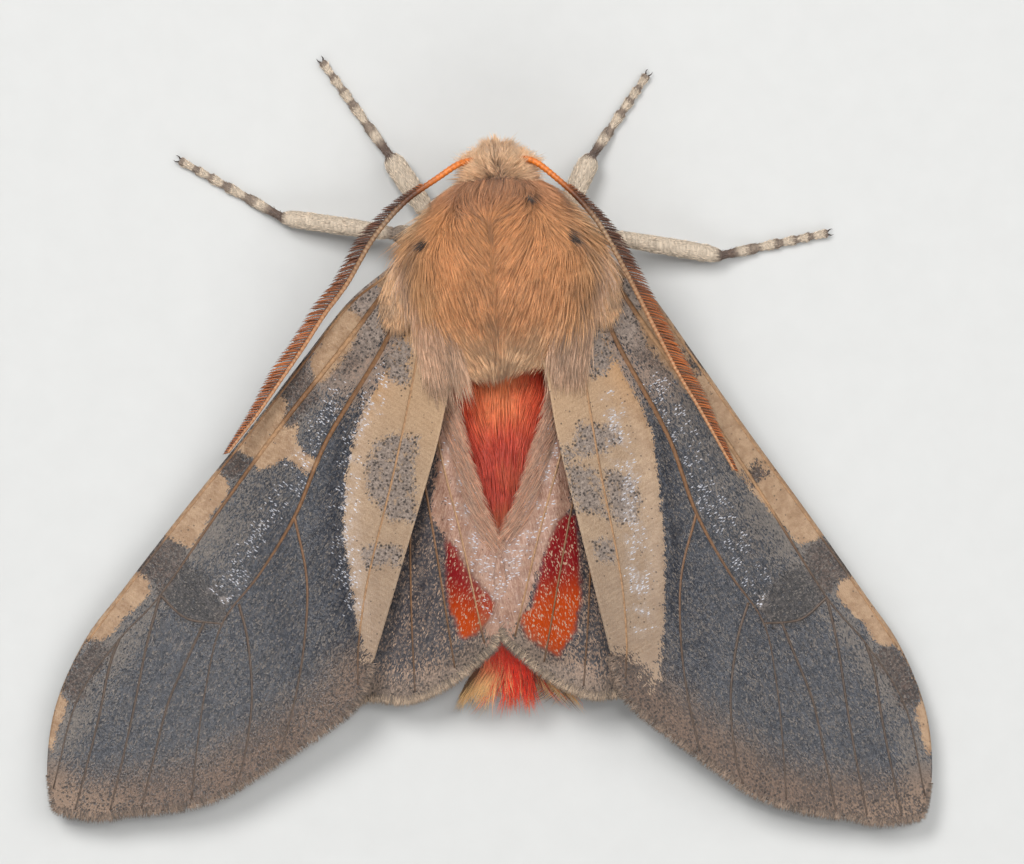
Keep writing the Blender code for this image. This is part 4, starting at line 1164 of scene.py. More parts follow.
PLANS = {
    "fore": (FOREWING_ROOT, FOREWING_SWEEP, FOREWING_COSTA, FOREWING_REAR, FOREWING_VEINS),
    "hind": (HINDWING_ROOT, HINDWING_SWEEP, HINDWING_COSTA, HINDWING_REAR, HINDWING_VEINS),
}
HEIGHTS = {"fore": forewing_height, "hind": hindwing_height}
# Points on the front and rear outline of a wing, and columns and rows of its membrane.
OUTLINE_POINTS = (200, 300)
MEMBRANE_GRID = {"fore": (210, 66), "hind": (140, 64)}


def on_wing(root, sweep, side, u, v):
    """Body x and y of a wing's u and v."""
    sine, cosine = math.sin(math.radians(sweep)), math.cos(math.radians(sweep))
    return side * (root[0] + u * sine - v * cosine), root[1] - u * cosine - v * sine


def line_distance(u, v, line):
    """Distance in the plane from each point to a polyline."""
    best = np.full(u.shape, 1e9)
    for start, finish in zip(np.array(line[:-1]), np.array(line[1:])):
        along = finish - start
        share = ((u - start[0]) * along[0] + (v - start[1]) * along[1]) / (along @ along)
        share = np.clip(share, 0, 1)
        away_u, away_v = u - start[0] - along[0] * share, v - start[1] - along[1] * share
        best = np.minimum(best, np.hypot(away_u, away_v))
    return best


def inside_by(u, v, outline):
    """Signed distance to a closed outline: above zero inside it."""
    odd = np.zeros(u.shape, bool)
    for (a, b), (c, d) in zip(outline, (*outline[1:], outline[0])):
        crosses = (b > v) != (d > v)
        reach = a + (v - b) / (d - b if d != b else 1e-9) * (c - a)
        odd ^= crosses & (u < reach)
    distance = line_distance(u, v, (*outline, outline[0]))
    return np.where(odd, distance, -distance)


def inside_any(u, v, outlines):
    return np.max([inside_by(u, v, outline) for outline in outlines], axis=0)


class Wing:
    """One wing: its plan, its heights and its grid of points."""

    def __init__(self, kind, side):
        self.kind, self.side, self.sign = kind, side, SIDES[side]
        self.root, sweeps, front, rear, self.veins = PLANS[kind]
        self.sweep = sweeps[side]
        self.height = HEIGHTS[kind]
        self.front = smooth_path(front, OUTLINE_POINTS[0])
        self.rear = smooth_path(rear, OUTLINE_POINTS[1])

    def relief(self, u, v):
        """Small folds on top of the wing's height."""
        if self.kind == "hind":
            turn = np.arctan2(v + 1.0, u + 3.0)
            pleats = 0.07 * np.sin(turn * 75) * smoothstep(2.0, 6.0, u) * smoothstep(18.5, 14.0, u)
            panel = smoothstep(0.25, 0.42, turn)
            return pleats * (0.35 + 0.65 * panel)
        edge = line_distance(u, v, STRIPE[self.side][1:8])
        fold = STRIPE_FOLD * np.exp(-((edge - 0.15) / FOLD_WIDTH) ** 2) * smoothstep(3.5, 6.5, u)
        fold = fold * smoothstep(18.0, 14.5, u)
        cell = line_distance(u, v, CELL_RIPPLE)
        ripple = 0.035 * np.sin(u * 17.0 + 1.5 * np.sin(v * 3)) * smoothstep(0.9, 0.2, cell)
        crease = 0.03 * np.sin(u * 14.0 + 2.0 * np.sin(u * 1.3)) * smoothstep(1.4, 0.3, edge)
        return fold + ripple + crease * smoothstep(5.0, 7.0, u) * smoothstep(17.0, 14.0, u)

    def place(self, u, v, lift=0.0):
        """Points in body millimetres at (u, v), lifted off the middle of the membrane."""
        x, y = on_wing(self.root, self.sweep, self.sign, u, v)
        z = self.height(x, y, u, v) + self.relief(u, v) + lift
        return np.stack((x, y, z), axis=-1)

    def grid(self, columns, rows):
        """u and v of a grid that fills the plan, with its columns closer together near the apex."""
        low = max(self.front[0, 0], self.rear[0, 0])
        high = min(self.front[:, 0].max(), self.rear[:, 0].max())
        share = np.linspace(0, 1, columns)
        u = low + (high - low) * (1 - (1 - share) ** 1.25)
        order = np.maximum.accumulate(self.rear[:, 0])
        front = np.interp(u, np.maximum.accumulate(self.front[:, 0]), self.front[:, 1])
        rear = np.interp(u, order + np.arange(len(order)) * 1e-7, self.rear[:, 1])
        down = np.linspace(0, 1, rows)
        v = front[:, None] + (rear - front)[:, None] * down[None]
        return np.repeat(u[:, None], rows, axis=1), v

    def masks(self, u, v):
        """Signed distances to the markings, and how thickly scales are strewn elsewhere."""
        masks = self.fore_masks(u, v) if self.kind == "fore" else self.hind_masks(u, v)
        masks["strewn"] = np.clip(masks["strewn"], 0, 1)
        return masks

    def fore_masks(self, u, v):
        outer = line_distance(u, v, self.rear[self.rear[:, 0] > FORE_MARGIN])
        cream = inside_any(u, v, (STRIPE[self.side], *COSTAL_CREAM[self.side], *OUTER_CREAM))
        grey = inside_any(u, v, (*GREY, *COSTAL_GREY[self.side], *STRIPE_GREY[self.side]))
        cream = np.where(v > 4.0, np.minimum(cream, outer - 1.5), cream)
        strewn = 0.17 + 0.55 * smoothstep(3.4, 0.4, outer) + 0.85 * smoothstep(9.0, 5.0, u)
        strewn = strewn + 0.35 * smoothstep(-0.2, -1.6, v) * smoothstep(14.0, 17.0, u)
        middle = 0.3 * smoothstep(2.0, 0.2, v) * smoothstep(6.0, 9.0, u) * smoothstep(20.0, 16.0, u)
        strewn = strewn + middle
        strewn = strewn + 0.22 * smoothstep(1.4, 0.2, line_distance(u, v, self.veins["radius"]))
        tan = smoothstep(3.4, 0.8, outer)
        fold = line_distance(u, v, SHINING_FOLD[self.side])
        cell = line_distance(u, v, CELL_RIPPLE)
        # shine is where painted sheen and painted glints go: along the fold and along the cell's ripple.
        shine = np.exp(-((fold / 0.5) ** 2)) * smoothstep(4.0, 6.0, u)
        shine = np.maximum(shine, CELL_SHINE[self.side] * np.exp(-((cell / 0.55) ** 2)))
        red = np.full(u.shape, FAR_OUT)
        return {"cream": cream, "grey": grey, "strewn": strewn, "tan": tan, "red": red, "shine": shine}

    def hind_masks(self, u, v):
        outer = line_distance(u, v, self.rear[HIND_MARGIN:])
        cream = inside_by(u, v, HIND_CREAM)
        x, y = on_wing(self.root, self.sweep, self.sign, u, v)
        red = inside_by(x, y, RED_WINDOW[self.side])
        glowing = smoothstep(-0.3, 0.1, red)
        strewn = 0.14 + 0.56 * smoothstep(2.4, 0.2, outer) + 0.1 * smoothstep(9.0, 5.0, u)
        strewn = strewn + (0.16 if self.side == "right" else 0.0)
        strewn = strewn * (1 - glowing) + 0.14 * glowing
        tan = smoothstep(1.6, 0.2, outer)
        fold = line_distance(u, v, SHINING_FOLD["hind"])
        # shine is where painted sheen and painted glints go on the cream panel, most along its fold.
        shine = smoothstep(0.0, 0.6, cream) * (0.3 + 0.7 * np.exp(-((fold / 0.45) ** 2)))
        grey = np.full(u.shape, FAR_OUT)
        return {"cream": cream, "grey": grey, "strewn": strewn, "tan": tan, "red": red, "shine": shine}


# Colours of the wings, each pair from dark to light: the bare glass, the scales strewn on it, the margin
# and its scales, and the dense scales of the cream patches with their pale, which also serves for painted
# glints and painted sheen. gleam is how much of the painted sheen the fine grain lets through.
WING_LOOKS = {
    "fore": {
        "glass": ((42, 45, 53), (82, 85, 93)),
        "scale": ((76, 71, 68), (112, 103, 95)),
        "margin": (80, 64, 52),
        "margin_scale": ((80, 63, 51), (114, 92, 77)),
        "rich": ((138, 108, 80), (163, 134, 105)),
        "pale": (180, 158, 134),
        "gleam": 0.75,
    },
    "hind": {
        "glass": ((58, 56, 62), (102, 96, 96)),
        "margin": (104, 90, 79),
        "margin_scale": ((104, 89, 78), (140, 120, 104)),
        "scale": ((124, 102, 88), (166, 140, 120)),
        "rich": ((134, 97, 79), (162, 125, 104)),
        "pale": (174, 142, 120),
        "gleam": 0.4,
    },
}
MASKS = ("cream", "grey", "strewn", "tan", "red", "shine")
# Colours of single markings: dusk is a grey patch, along the costa, round the cell or in the stripe.
DARK_SCALE = (34, 28, 26)
# Painted light: the colours of the painted glints and of the painted sheen.
GLINT = (190, 190, 197)
PAINTED_SHEEN = (172, 160, 153)
FIRE = ((116, 18, 22), (166, 58, 4))
COSTAL_DUSK = ((26, 17, 13), (84, 63, 52))
CELL_DUSK = ((16, 16, 18), (68, 63, 62))
STRIPE_DUSK = ((108, 95, 86), (154, 138, 126))
STRIPE_ROOT = (172, 130, 86)
SATIN_SHEEN = (190, 156, 140)
BASE_SCALE = (150, 125, 107)
BAND_GREY = (116, 102, 92)
TIP_SCALE = (150, 124, 102)


def wing_material(kind):
    """Wing: a dark glassy membrane under strewn scales, with cream and grey patches of dense scales."""
    looks = WING_LOOKS[kind]
    graph = Graph("wing_" + kind)
    wing = graph.attribute("wing")
    place = graph.parts(wing)
    mask = {name: graph.attribute(name, "Fac") for name in MASKS}
    mix, ramp, times, most, part = graph.mix, graph.ramp, graph.times, graph.most, graph.part

    # Noise and cells: chance, tone and third hold three random numbers for each scale, tuft or flake.
    spot, chance = graph.cells(graph.stretch(wing, (0.55, 1.3, 1.0)), 17.0)
    grain, second = graph.cells(wing, 9.0)
    tuft, tone = graph.cells(wing, 5.5)
    flake, third = graph.cells(graph.stretch(wing, (1.7, 0.6, 1.0)), 9.0)
    rough_edge = graph.noise(wing, 2.2, 4.0)
    cloud = graph.noise(wing, 3.0)
    fine = graph.noise(wing, 8.5)
    streak = graph.noise(graph.stretch(wing, (0.6, 3.2, 1.0)), 2.4)
    satin = graph.noise(graph.stretch(wing, (0.5, 5.0, 1.0)), 3.0)
    patchy = ramp(graph.noise(wing, 0.55), 0.3, 0.7, 0.6, 1.35)

    # Where each marking is, with a ragged edge.
    margin = mask["tan"]
    loose = graph.swing(rough_edge, 0.45, graph.swing(chance[0], 0.22))
    cream = ramp(part(loose, part(margin, 3.0, 1.0), mask["cream"]), -0.03, 0.03)
    grey = times(ramp(part(loose, 1.9, mask["grey"]), -0.08, 0.08), ramp(cloud, 0.34, 0.44, 0.25, 1.0))
    red = ramp(graph.swing(rough_edge, 0.5, mask["red"]), -0.16, 0.22)
    speck = ramp(graph.math("SUBTRACT", times(mask["strewn"], patchy), chance[1]), -0.04, 0.08)
    dot = ramp(grain, 0.5, 0.3)
    dark_dot = times(ramp(second[0], 0.3, 0.2), dot)
    tufts = ramp(tuft, 0.5, 0.25)
    pepper = times(most(times(ramp(tone[0], 0.52, 0.42), tufts), dark_dot), margin)

    # The glass, the red that shows through it, and the scales strewn on it.
    glass = mix(*looks["glass"], ramp(streak, 0.3, 0.7))
    glass = mix(glass, looks["scale"][1], times(ramp(fine, 0.52, 0.62), 0.5))
    glass = mix(glass, looks["glass"][0], times(ramp(fine, 0.49, 0.4), 0.9))
    glass = mix(glass, DARK_SCALE, times(ramp(cloud, 0.45, 0.35), 0.35))
    fire = mix(*FIRE, ramp(place[0], 12.6, 15.0))
    # Painted sheen in streaks over the red.
    fire = mix(fire, looks["pale"], times(ramp(satin, 0.56, 0.7), 0.35))
    glass = mix(mix(glass, fire, red), looks["margin"], times(margin, 0.85))
    scale = mix(*looks["scale"], chance[2])
    if kind == "fore":
        near_root = times(ramp(place[0], 9.5, 5.0), ramp(fine, 0.38, 0.62, 0.35, 0.85))
        scale = mix(scale, BASE_SCALE, near_root)
    scale = mix(scale, mix(*looks["margin_scale"], chance[2]), margin)
    if kind == "fore":
        scale = mix(scale, TIP_SCALE, times(margin, ramp(place[0], 28.5, 31.8, 0.0, 0.5)))
    scale = mix(scale, looks["pale"], red)
    colour = mix(mix(glass, scale, speck), DARK_SCALE, times(pepper, 0.85))

    # The dense scales: rich in the cream patches and dusk in the grey ones.
    rich = mix(*looks["rich"], ramp(rough_edge, 0.35, 0.65))
    if kind == "fore":
        inner = times(ramp(place[0], 9.0, 5.0), ramp(place[1], 1.4, 2.4))
        rich = mix(rich, STRIPE_ROOT, times(inner, 0.7))
        rich = mix(rich, looks["pale"], ramp(place[1], 2.0, 3.6, 0.0, 0.4))
        # Greyer further along the stripe.
        rich = mix(rich, BAND_GREY, times(ramp(place[1], 1.5, 3.0), ramp(place[0], 9.0, 16.0, 0.0, 0.4)))
        shades = times(ramp(fine, 0.4, 0.6), ramp(cloud, 0.36, 0.56, 0.3, 1.0))
        shades = part(shades, 0.75, times(chance[2], 0.25))
        outer = times(ramp(place[1], -1.7, -0.9), ramp(place[0], 13.0, 16.0))
        light = most(ramp(place[1], 1.2, 3.2), ramp(place[0], 6.0, 3.5))
        flecks = times(ramp(flake, 0.5, 0.3), ramp(third[1], 0.6, 0.72))
        dark_tuft = times(tufts, ramp(tone[1], 0.52, 0.42))
        dusk = mix(mix(*COSTAL_DUSK, shades), mix(*CELL_DUSK, shades), outer)
        dusk = mix(dusk, scale, times(speck, ramp(cloud, 0.4, 0.6, 0.1, 0.5)))
        dusk = mix(dusk, looks["scale"][1], times(flecks, 0.7))
        dusk = mix(dusk, mix(*STRIPE_DUSK, shades), light)
        dusk = mix(dusk, DARK_SCALE, times(most(dark_dot, dark_tuft), 0.8))
    else:
        # Painted sheen in satin streaks over the hindwing's panel, and painted glints of pale scattered on
        # it.
        rich = mix(rich, SATIN_SHEEN, times(ramp(satin, 0.48, 0.7), 0.8))
        rich = mix(rich, looks["pale"], times(ramp(chance[1], 0.78, 0.92), 0.6))
        dusk = scale
    rich = mix(rich, looks["rich"][0], times(ramp(spot, 0.45, 0.75), 0.3))
    sparse = times(ramp(second[0], 0.05, 0.02), dot)
    rich = mix(rich, DARK_SCALE, times(sparse, 0.7))
    over = times(cream, graph.math("SUBTRACT", 1.0, times(red, 0.9)))
    colour = mix(mix(colour, rich, over), dusk, grey)
    border = ramp(graph.math("ABSOLUTE", mask["grey"]), 0.3, 0.12)
    border = times(border, times(tufts, ramp(tone[2], 0.5, 0.6)))
    colour = mix(colour, DARK_SCALE, times(border, 0.85))

    # Painted sheen and painted glints on the folds, in place of light that glances off them.
    sheen = times(mask["shine"], ramp(graph.noise(wing, 1.3, 2.0), 0.38, 0.6))
    gleam = ramp(fine, 0.42, 0.6, 0.15, looks["gleam"])
    colour = mix(colour, PAINTED_SHEEN, times(times(sheen, most(over, grey)), gleam))
    bright = ramp(part(sheen, 0.62, third[2]), 1.0, 1.06)
    colour = mix(colour, GLINT, times(bright, ramp(flake, 0.48, 0.26)))

    covered = most(most(over, grey), speck)
    solid = most(most(covered, times(margin, 0.7)), red)
    ridges = graph.math("SINE", times(place[0], 26.0))
    tiles = part(spot, -1.0, times(rough_edge, 0.5))
    graph.bump(part(times(ridges, over), 0.16, tiles), 0.5, 0.05 * MM)
    graph.material.use_transparent_shadow = True
    return graph.finish(
        Base_Color=colour,
        Roughness=ramp(covered, 0.0, 1.0, 0.3, 0.5),
        Alpha=ramp(solid, 0.0, 1.0, 0.64, 1.0),
        Specular_IOR_Level=ramp(red, 0.0, 1.0, 0.5, 0.12),
    )


def make_membrane(wing, material):
    """A thin sheet between two grids of points, with the markings as attributes."""
    u, v = wing.grid(*MEMBRANE_GRID[wing.kind])
    lower = wing.place(u, v, -MEMBRANE_HALF)
    upper = wing.place(u, v, MEMBRANE_HALF)
    count = u.size
    index = np.arange(count).reshape(u.shape)
    corners = (index[:-1, :-1], index[1:, :-1], index[1:, 1:], index[:-1, 1:])
    quads = np.stack(corners, axis=-1).reshape(-1, 4)
    border = np.concatenate((index[:, 0], index[-1, 1:], index[-2::-1, -1], index[0, -2:0:-1]))
    after = np.roll(border, -1)
    rim = np.stack((border, border + count, after + count, after), axis=1)
    if wing.sign < 0:
        quads = quads[:, ::-1]
        rim = rim[:, ::-1]
    faces = (quads[:, ::-1], quads + count, rim[:, ::-1])
    flat = np.stack((u, v, np.full(u.shape, 3.0 * wing.sign)), axis=-1).reshape(-1, 3)
    masks = {key: np.tile(values.ravel(), 2) for key, values in wing.masks(u, v).items()}
    name = f"membrane_{wing.kind}_{wing.side}"
    points = np.concatenate((lower.reshape(-1, 3), upper.reshape(-1, 3)))
    made = build(name, points, faces, material, wing=np.tile(flat, (2, 1)), masks=masks)
    placed(made, wing.kind + "wing", f"{wing.kind}wing_{wing.side}")


def make_veins(wing, material):
    """Each vein is a low tapered tube half sunk in the membrane, brown but pale on the cream."""
    tubes, tints = [], []
    sides, rings = 6, 60
    for name, line in wing.veins.items():
        path = smooth_path(line, rings)
        place = wing.place(path[:, 0], path[:, 1], MEMBRANE_HALF)
        stem = wing.kind == "fore" and name in ("radius", "cubitus")
        thick = 0.14 - 0.08 * smoothstep(8.0, 21.0, path[:, 0]) if stem else np.full(rings, 0.07)
        radii = thick * (1 - 0.35 * np.linspace(0, 1, rings))
        tubes.append(tube_points(place, radii, sides, 0.7))
        pale = smoothstep(-0.1, 0.2, wing.masks(path[:, 0], path[:, 1])["cream"])
        tint = blend(PAINT["vein"], PAINT["far_vein"], smoothstep(13.0, 21.0, path[:, 0]))
        tints.append(np.repeat(blend(tint, PAINT["pale_vein"], pale), sides, axis=0))
    made = build(f"veins_{wing.kind}_{wing.side}", *joined(tubes), material, tint=np.vstack(tints))
    placed(made, wing.kind + "wing")


def wing_uv(u, v, start):
    """The place of a hair's root on the plan of a wing, from a start across the map."""
    return np.stack((u / 34 + start, (v + 4) / 15), axis=1)


# Where the fringe starts on the rear outline and ends on the front one, and a point inside the wing.
FRINGE_START = {"fore": 17.5, "hind": 14.9}
FRINGE_END = {"fore": 30.6, "hind": 20.4}
WING_MIDDLE = {"fore": (16.0, 2.0), "hind": (10.0, 3.0)}
# Points on the margin that the fringe stands on, and on the inner edge of the hindwings.
MARGIN_POINTS = 400
EDGE_POINTS = 300


def make_fringe(wing, material, seed):
    """Fine scales that stand out from the outer margin of a wing, round to its apex."""
    draw = np.random.default_rng(SEED + seed)
    count = HAIRS["fringe_" + wing.kind]
    rear = wing.rear[np.argmax(wing.rear[:, 0] > FRINGE_START[wing.kind]):]
    front = wing.front[wing.front[:, 0] > FRINGE_END[wing.kind]][::-1]
    line = smooth_path(np.vstack((rear[::8], front[1::5])), MARGIN_POINTS)
    at = draw.uniform(2, MARGIN_POINTS - 4, count)
    low = at.astype(int)
    ahead = unit(line[low + 1] - line[low])
    root = line[low] + ahead * ((at - low) * np.linalg.norm(line[low + 1] - line[low], axis=1))[:, None]
    out = np.stack((ahead[:, 1], -ahead[:, 0]), axis=1)
    out = out * np.sign(np.sum(out * (root - WING_MIDDLE[wing.kind]), axis=1))[:, None]
    lean = out + ahead * draw.normal(0.0, 0.35, count)[:, None]
    length = draw.uniform(0.14, 0.36, count) * (1 - 0.6 * smoothstep(340, MARGIN_POINTS - 4, at))
    share = np.linspace(-0.9, 1, 4)[None, :, None]
    spots = root[:, None] + lean[:, None] * length[:, None, None] * share
    rise = draw.uniform(-0.03, 0.06, count)[:, None]
    paths = wing.place(spots[..., 0], spots[..., 1], rise)
    tint = PAINT["fringe_" + wing.kind] * draw.uniform(0.6, 1.25, (count, 1))
    tint = tint * (1 - 0.5 * (hashed(np.floor(at / 1.6), 5) > 0.75))[:, None]
    widths = draw.uniform(0.012, 0.026, count)
    uv = wing_uv(root[:, 0], root[:, 1], 0.01)
    grow(f"fringe_{wing.kind}_{wing.side}", wing.kind + "wing", material, paths, widths, tint, draw, uv)


# The u that the hair of the inner edge starts and ends at.
INNER_EDGE = (2.2, 11.2)


def make_edge_hair(wing, material, seed):
    """Long pale hair along the inner edge of a hindwing, combed towards the tail and over the abdomen."""
    draw = np.random.default_rng(SEED + seed)
    count = HAIRS["edge"]
    share = np.linspace(0, 1, 5)[None]
    inside = (wing.rear[:, 0] > INNER_EDGE[0]) & (wing.rear[:, 0] < INNER_EDGE[1])
    line = smooth_path(wing.rear[inside][::6], EDGE_POINTS)
    order = np.arange(EDGE_POINTS)
    length = draw.uniform(0.7, 1.7, count)
    step = np.linalg.norm(line[1] - line[0])
    at = draw.uniform(0, EDGE_POINTS - 1 - length / step, count)
    reach = at[:, None] + (length / step)[:, None] * share
    u, v = np.interp(reach, order, line[:, 0]), np.interp(reach, order, line[:, 1])
    ahead = unit(np.stack((np.gradient(u, axis=1), np.gradient(v, axis=1)), axis=-1))
    back_in = 0.85 * draw.uniform(0, 1, count)[:, None] ** 2
    off = -back_in + (0.12 + 0.35 * draw.uniform(0, 1, count)[:, None]) * share
    u, v = u - ahead[..., 1] * off, v + ahead[..., 0] * off
    lift = 0.03 + (0.06 + 0.16 * draw.uniform(0, 1, count)[:, None]) * share**0.6
    paths = wing.place(u, v, lift)
    tint = blend(PAINT["edge_hair"], PAINT["orange"], 0.35 * draw.uniform(0, 1, count) ** 2)
    tint = tint * draw.uniform(0.85, 1.1, (count, 1))
    widths = draw.uniform(0.009, 0.016, count)
    uv = wing_uv(u[:, 0], v[:, 0], 0.5)
    grow("edge_hair_" + wing.side, "hindwing", material, paths, widths, tint, draw, uv)


def make_wings():
    materials = {kind: wing_material(kind) for kind in ("fore", "hind")}
    vein = grained_material("wing_vein", (None, 5.0, 2.0), (0.35, 0.65, 0.8, 1.2), (0.4, 0.03), 0.5)
    scale_hair = fur_material("wing_fringe", 0.55)
    seed = 100
    for kind in ("fore", "hind"):
        for side in SIDES:
            wing = Wing(kind, side)
            make_membrane(wing, materials[kind])
            make_veins(wing, vein)
            make_fringe(wing, scale_hair, seed)
            if kind == "hind":
                make_edge_hair(wing, scale_hair, seed + 20)
            seed += 1


# Feelers: (x, y, z) along the shaft from the head to the tip, then its radius there and its beads.
ANTENNAE = {
    "left": (
        (-1.0, 5.5, 5.3), (-1.9, 5.3, 5.9), (-2.9, 4.7, 6.0), (-4.7, 3.5, 5.8), (-6.3, 1.8, 5.5),
        (-7.7, -0.4, 5.0), (-8.9, -1.9, 4.5), (-10.1, -3.6, 4.1), (-11.3, -5.2, 3.85),
        (-12.5, -6.8, 3.65), (-14.0, -8.6, 3.45),
    ),
    "right": (
        (0.9, 5.5, 5.3), (1.8, 5.3, 5.9), (2.8, 4.5, 6.2), (3.9, 3.4, 6.4), (4.9, 2.1, 6.35),
        (5.8, 0.4, 6.2), (6.9, -1.9, 5.3), (8.5, -5.3, 4.45), (9.6, -7.3, 4.1), (11.2, -10.4, 3.7),
    ),
}
SHAFT_RADII = (0.17, 0.07)
SHAFT_SIDES = 10
SEGMENTS = 84
SEGMENT_RINGS = 3
# The comb: the share of the shaft that it starts at, its reach, slant, and each row's rise and length.
COMB_START = 0.15
COMB_REACH = 0.86
COMB_SLANT = 0.55
COMB_ROWS = ((0.16, 1.0), (-0.3, 0.86))
TOOTH_WIDTH = 0.05
BRISTLES = 6
BRISTLE_WIDTH = 0.009
BRISTLE_LENGTH = 0.16


def antenna_tint(share):
    """Amber at the base and the tip, rusty brown between."""
    amber = np.maximum(smoothstep(0.2, 0.1, share), 0.48 * smoothstep(0.3, 0.65, share))
    return blend(PAINT["rust"], PAINT["amber"], amber)


def make_shaft(side, material):
    """The shaft of a feeler: a bead for each of its segments, with pale scales on most of them."""
    rings = SEGMENTS * SEGMENT_RINGS + 1
    path = smooth_path(ANTENNAE[side], rings)
    share = np.linspace(0, 1, rings)
    wave = np.cos(2 * math.pi * np.arange(rings) / SEGMENT_RINGS)
    radii = SHAFT_RADII[0] + (SHAFT_RADII[1] - SHAFT_RADII[0]) * share**0.8
    radii = radii * (1 + 0.1 * wave)
    beads = 0.5 + 0.5 * wave
    pale = (0.2 + 0.4 * beads) * smoothstep(0.2, 0.3, share)
    tint = blend(antenna_tint(share) * (0.8 + 0.3 * beads)[:, None], PAINT["cream"] * 0.6, pale)
    tint = np.repeat(tint[:, None], SHAFT_SIDES, axis=1)
    points = tube_points(path, radii, SHAFT_SIDES)
    solid("shaft_" + side, points, material, "antenna", "antenna_" + side, tint)


def make_comb(side, material):
    """Two rows of teeth on the outer side of a feeler, each tooth with fine bristles."""
    sign = SIDES[side]
    draw = np.random.default_rng(SEED + 200 + sign)
    count = HAIRS["comb"]
    line = smooth_path(ANTENNAE[side], count)
    ahead = unit(np.gradient(line, axis=0))
    outward = unit(np.stack((-ahead[:, 1], ahead[:, 0], np.zeros(count)), axis=1))
    outward = outward * np.sign(outward[:, :1] * sign)
    up = np.cross(ahead, outward)
    up = up * np.sign(up[:, 2:])
    stretch = np.linspace(0, 1, 6)[:, None]
    bristle_tint = PAINT["rust"] * 1.25
    teeth = []
    for index in range(count):
        along = index / (count - 1)
        if along < COMB_START:
            continue
        share = (along - COMB_START) / (1 - COMB_START)
        reach = COMB_REACH * min(1.0, 0.35 + 3.0 * share, 0.22 + 2.6 * (1 - share))
        for row, (rise, length) in enumerate(COMB_ROWS):
            slant = COMB_SLANT + draw.normal(0, 0.06)
            lean = unit(outward[index] + ahead[index] * slant + up[index] * rise)
            curl = ahead[index] * 0.4 * reach * stretch**2 - up[index] * 0.12 * reach * stretch**2
            tooth = line[index] + lean * (reach * length * stretch) + curl
            tint = antenna_tint(np.array(along)) * draw.uniform(0.75, 1.25)
            teeth.append((tooth, up[index], TOOTH_WIDTH, tint, draw.uniform(), (along, 0.2 + 0.3 * row)))
            for bristle in range(BRISTLES):
                t = 0.15 + 0.12 * bristle
                root = tooth[0] + (tooth[-1] - tooth[0]) * t + curl[3] * t * (1 - t)
                rise = draw.normal(0.1, 0.2)
                way = unit(ahead[index] * 0.9 * (-1) ** bristle + lean * 0.6 + up[index] * rise)
                fine = root + way * (BRISTLE_LENGTH * stretch)
                place = (along, 0.25 + 0.3 * row)
                teeth.append((fine, up[index], BRISTLE_WIDTH, bristle_tint, draw.uniform(), place))
    rows = [np.array(values) for values in zip(*teeth)]
    placed(hairs("comb_" + side, material, *rows, taper=0.5, flat=0.8), "antenna")


# Legs: joints from the body to the tip of the foot.
LEGS = {
    "fore_left": (
        (-1.2, 2.6, 2.6), (-1.0, 4.7, 1.35), (-3.5, 2.9, 1.75), (-5.35, 5.9, 0.85), (-8.65, 10.9, 0.2),
    ),
    "fore_right": (
        (1.2, 2.6, 2.6), (1.0, 4.7, 1.35), (3.1, 2.5, 1.75), (4.7, 5.5, 0.85), (7.7, 9.6, 0.2),
    ),
    "mid_left": (
        (-1.8, 0.6, 2.6), (-2.1, 1.3, 1.4), (-5.3, 2.05, 2.3), (-10.9, 3.1, 0.8), (-16.0, 6.2, 0.2),
    ),
    "mid_right": ((1.8, 0.6, 2.6), (2.1, 1.3, 1.4), (5.4, 1.5, 2.3), (11.0, 0.35, 0.8), (16.5, 1.3, 0.2)),
    "hind_left": (
        (-1.8, -2.0, 2.6), (-2.2, -1.3, 1.4), (-5.2, -0.9, 2.3), (-6.6, -6.6, 0.8), (-6.4, -12.6, 0.2),
    ),
    "hind_right": (
        (1.8, -2.0, 2.6), (2.2, -1.3, 1.4), (5.2, -0.9, 2.3), (6.0, -6.6, 0.8), (5.4, -12.6, 0.2),
    ),
}
TIBIA_RADII = {"fore": (0.42, 0.52), "mid": (0.36, 0.42), "hind": (0.36, 0.42)}
FEMUR_RADII = (0.42, 0.5)
COXA_RADII = (0.7, 0.55)
TARSUS_RADIUS = 0.25
TARSUS_JOINTS = (0.0, 0.36, 0.56, 0.71, 0.84, 1.0)
SOLE_HEIGHT = 0.24
CLAW_LENGTH = 0.28
CLAW_RADIUS = 0.045
# How far everything on the legs stays above the floor.
SOLE_CLEARANCE = 0.03


def leg_path(joints, tibia_radii):
    """Centre line, radii and the share of each of the four lengths along a leg, from hip to foot."""
    coxa, trochanter, knee, ankle, toe = (np.array(joint, float) for joint in joints)
    runs = (
        (coxa, trochanter, COXA_RADII, 8),
        (trochanter, knee, FEMUR_RADII, 14),
        (knee, ankle, tibia_radii, 22),
    )
    path, radii, zone = [], [], []
    for number, (start, finish, (first, last), count) in enumerate(runs):
        share = np.linspace(0.0, 1.0, count)
        path.append(start + (finish - start) * share[:, None])
        swell = 0.12 * np.sin(math.pi * share)
        waist = 0.28 * np.exp(-(share / 0.07) ** 2) + 0.32 * np.exp(-((1 - share) / 0.06) ** 2)
        radii.append((first + (last - first) * share) * (1 + swell - waist))
        zone.append(number + share * 0.999)
    for number, (near, far) in enumerate(zip(TARSUS_JOINTS, TARSUS_JOINTS[1:])):
        share = np.linspace(near + 0.015, far - 0.005, 9)
        place = ankle + (toe - ankle) * share[:, None]
        place[:, 2] = ankle[2] + (SOLE_HEIGHT - ankle[2]) * np.minimum(1.0, share / 0.3)
        place[:, 2] = np.maximum(place[:, 2], SOLE_HEIGHT)
        path.append(place)
        local = np.linspace(0, 1, 9)
        flare = 0.78 + 0.3 * smoothstep(0.0, 0.85, local) - 0.35 * smoothstep(0.88, 1.0, local)
        radii.append(TARSUS_RADIUS * (1 - 0.06 * number) * flare)
        zone.append(3 + number / 5 + 0.199 * local)
    return np.vstack(path), np.concatenate(radii), np.concatenate(zone)


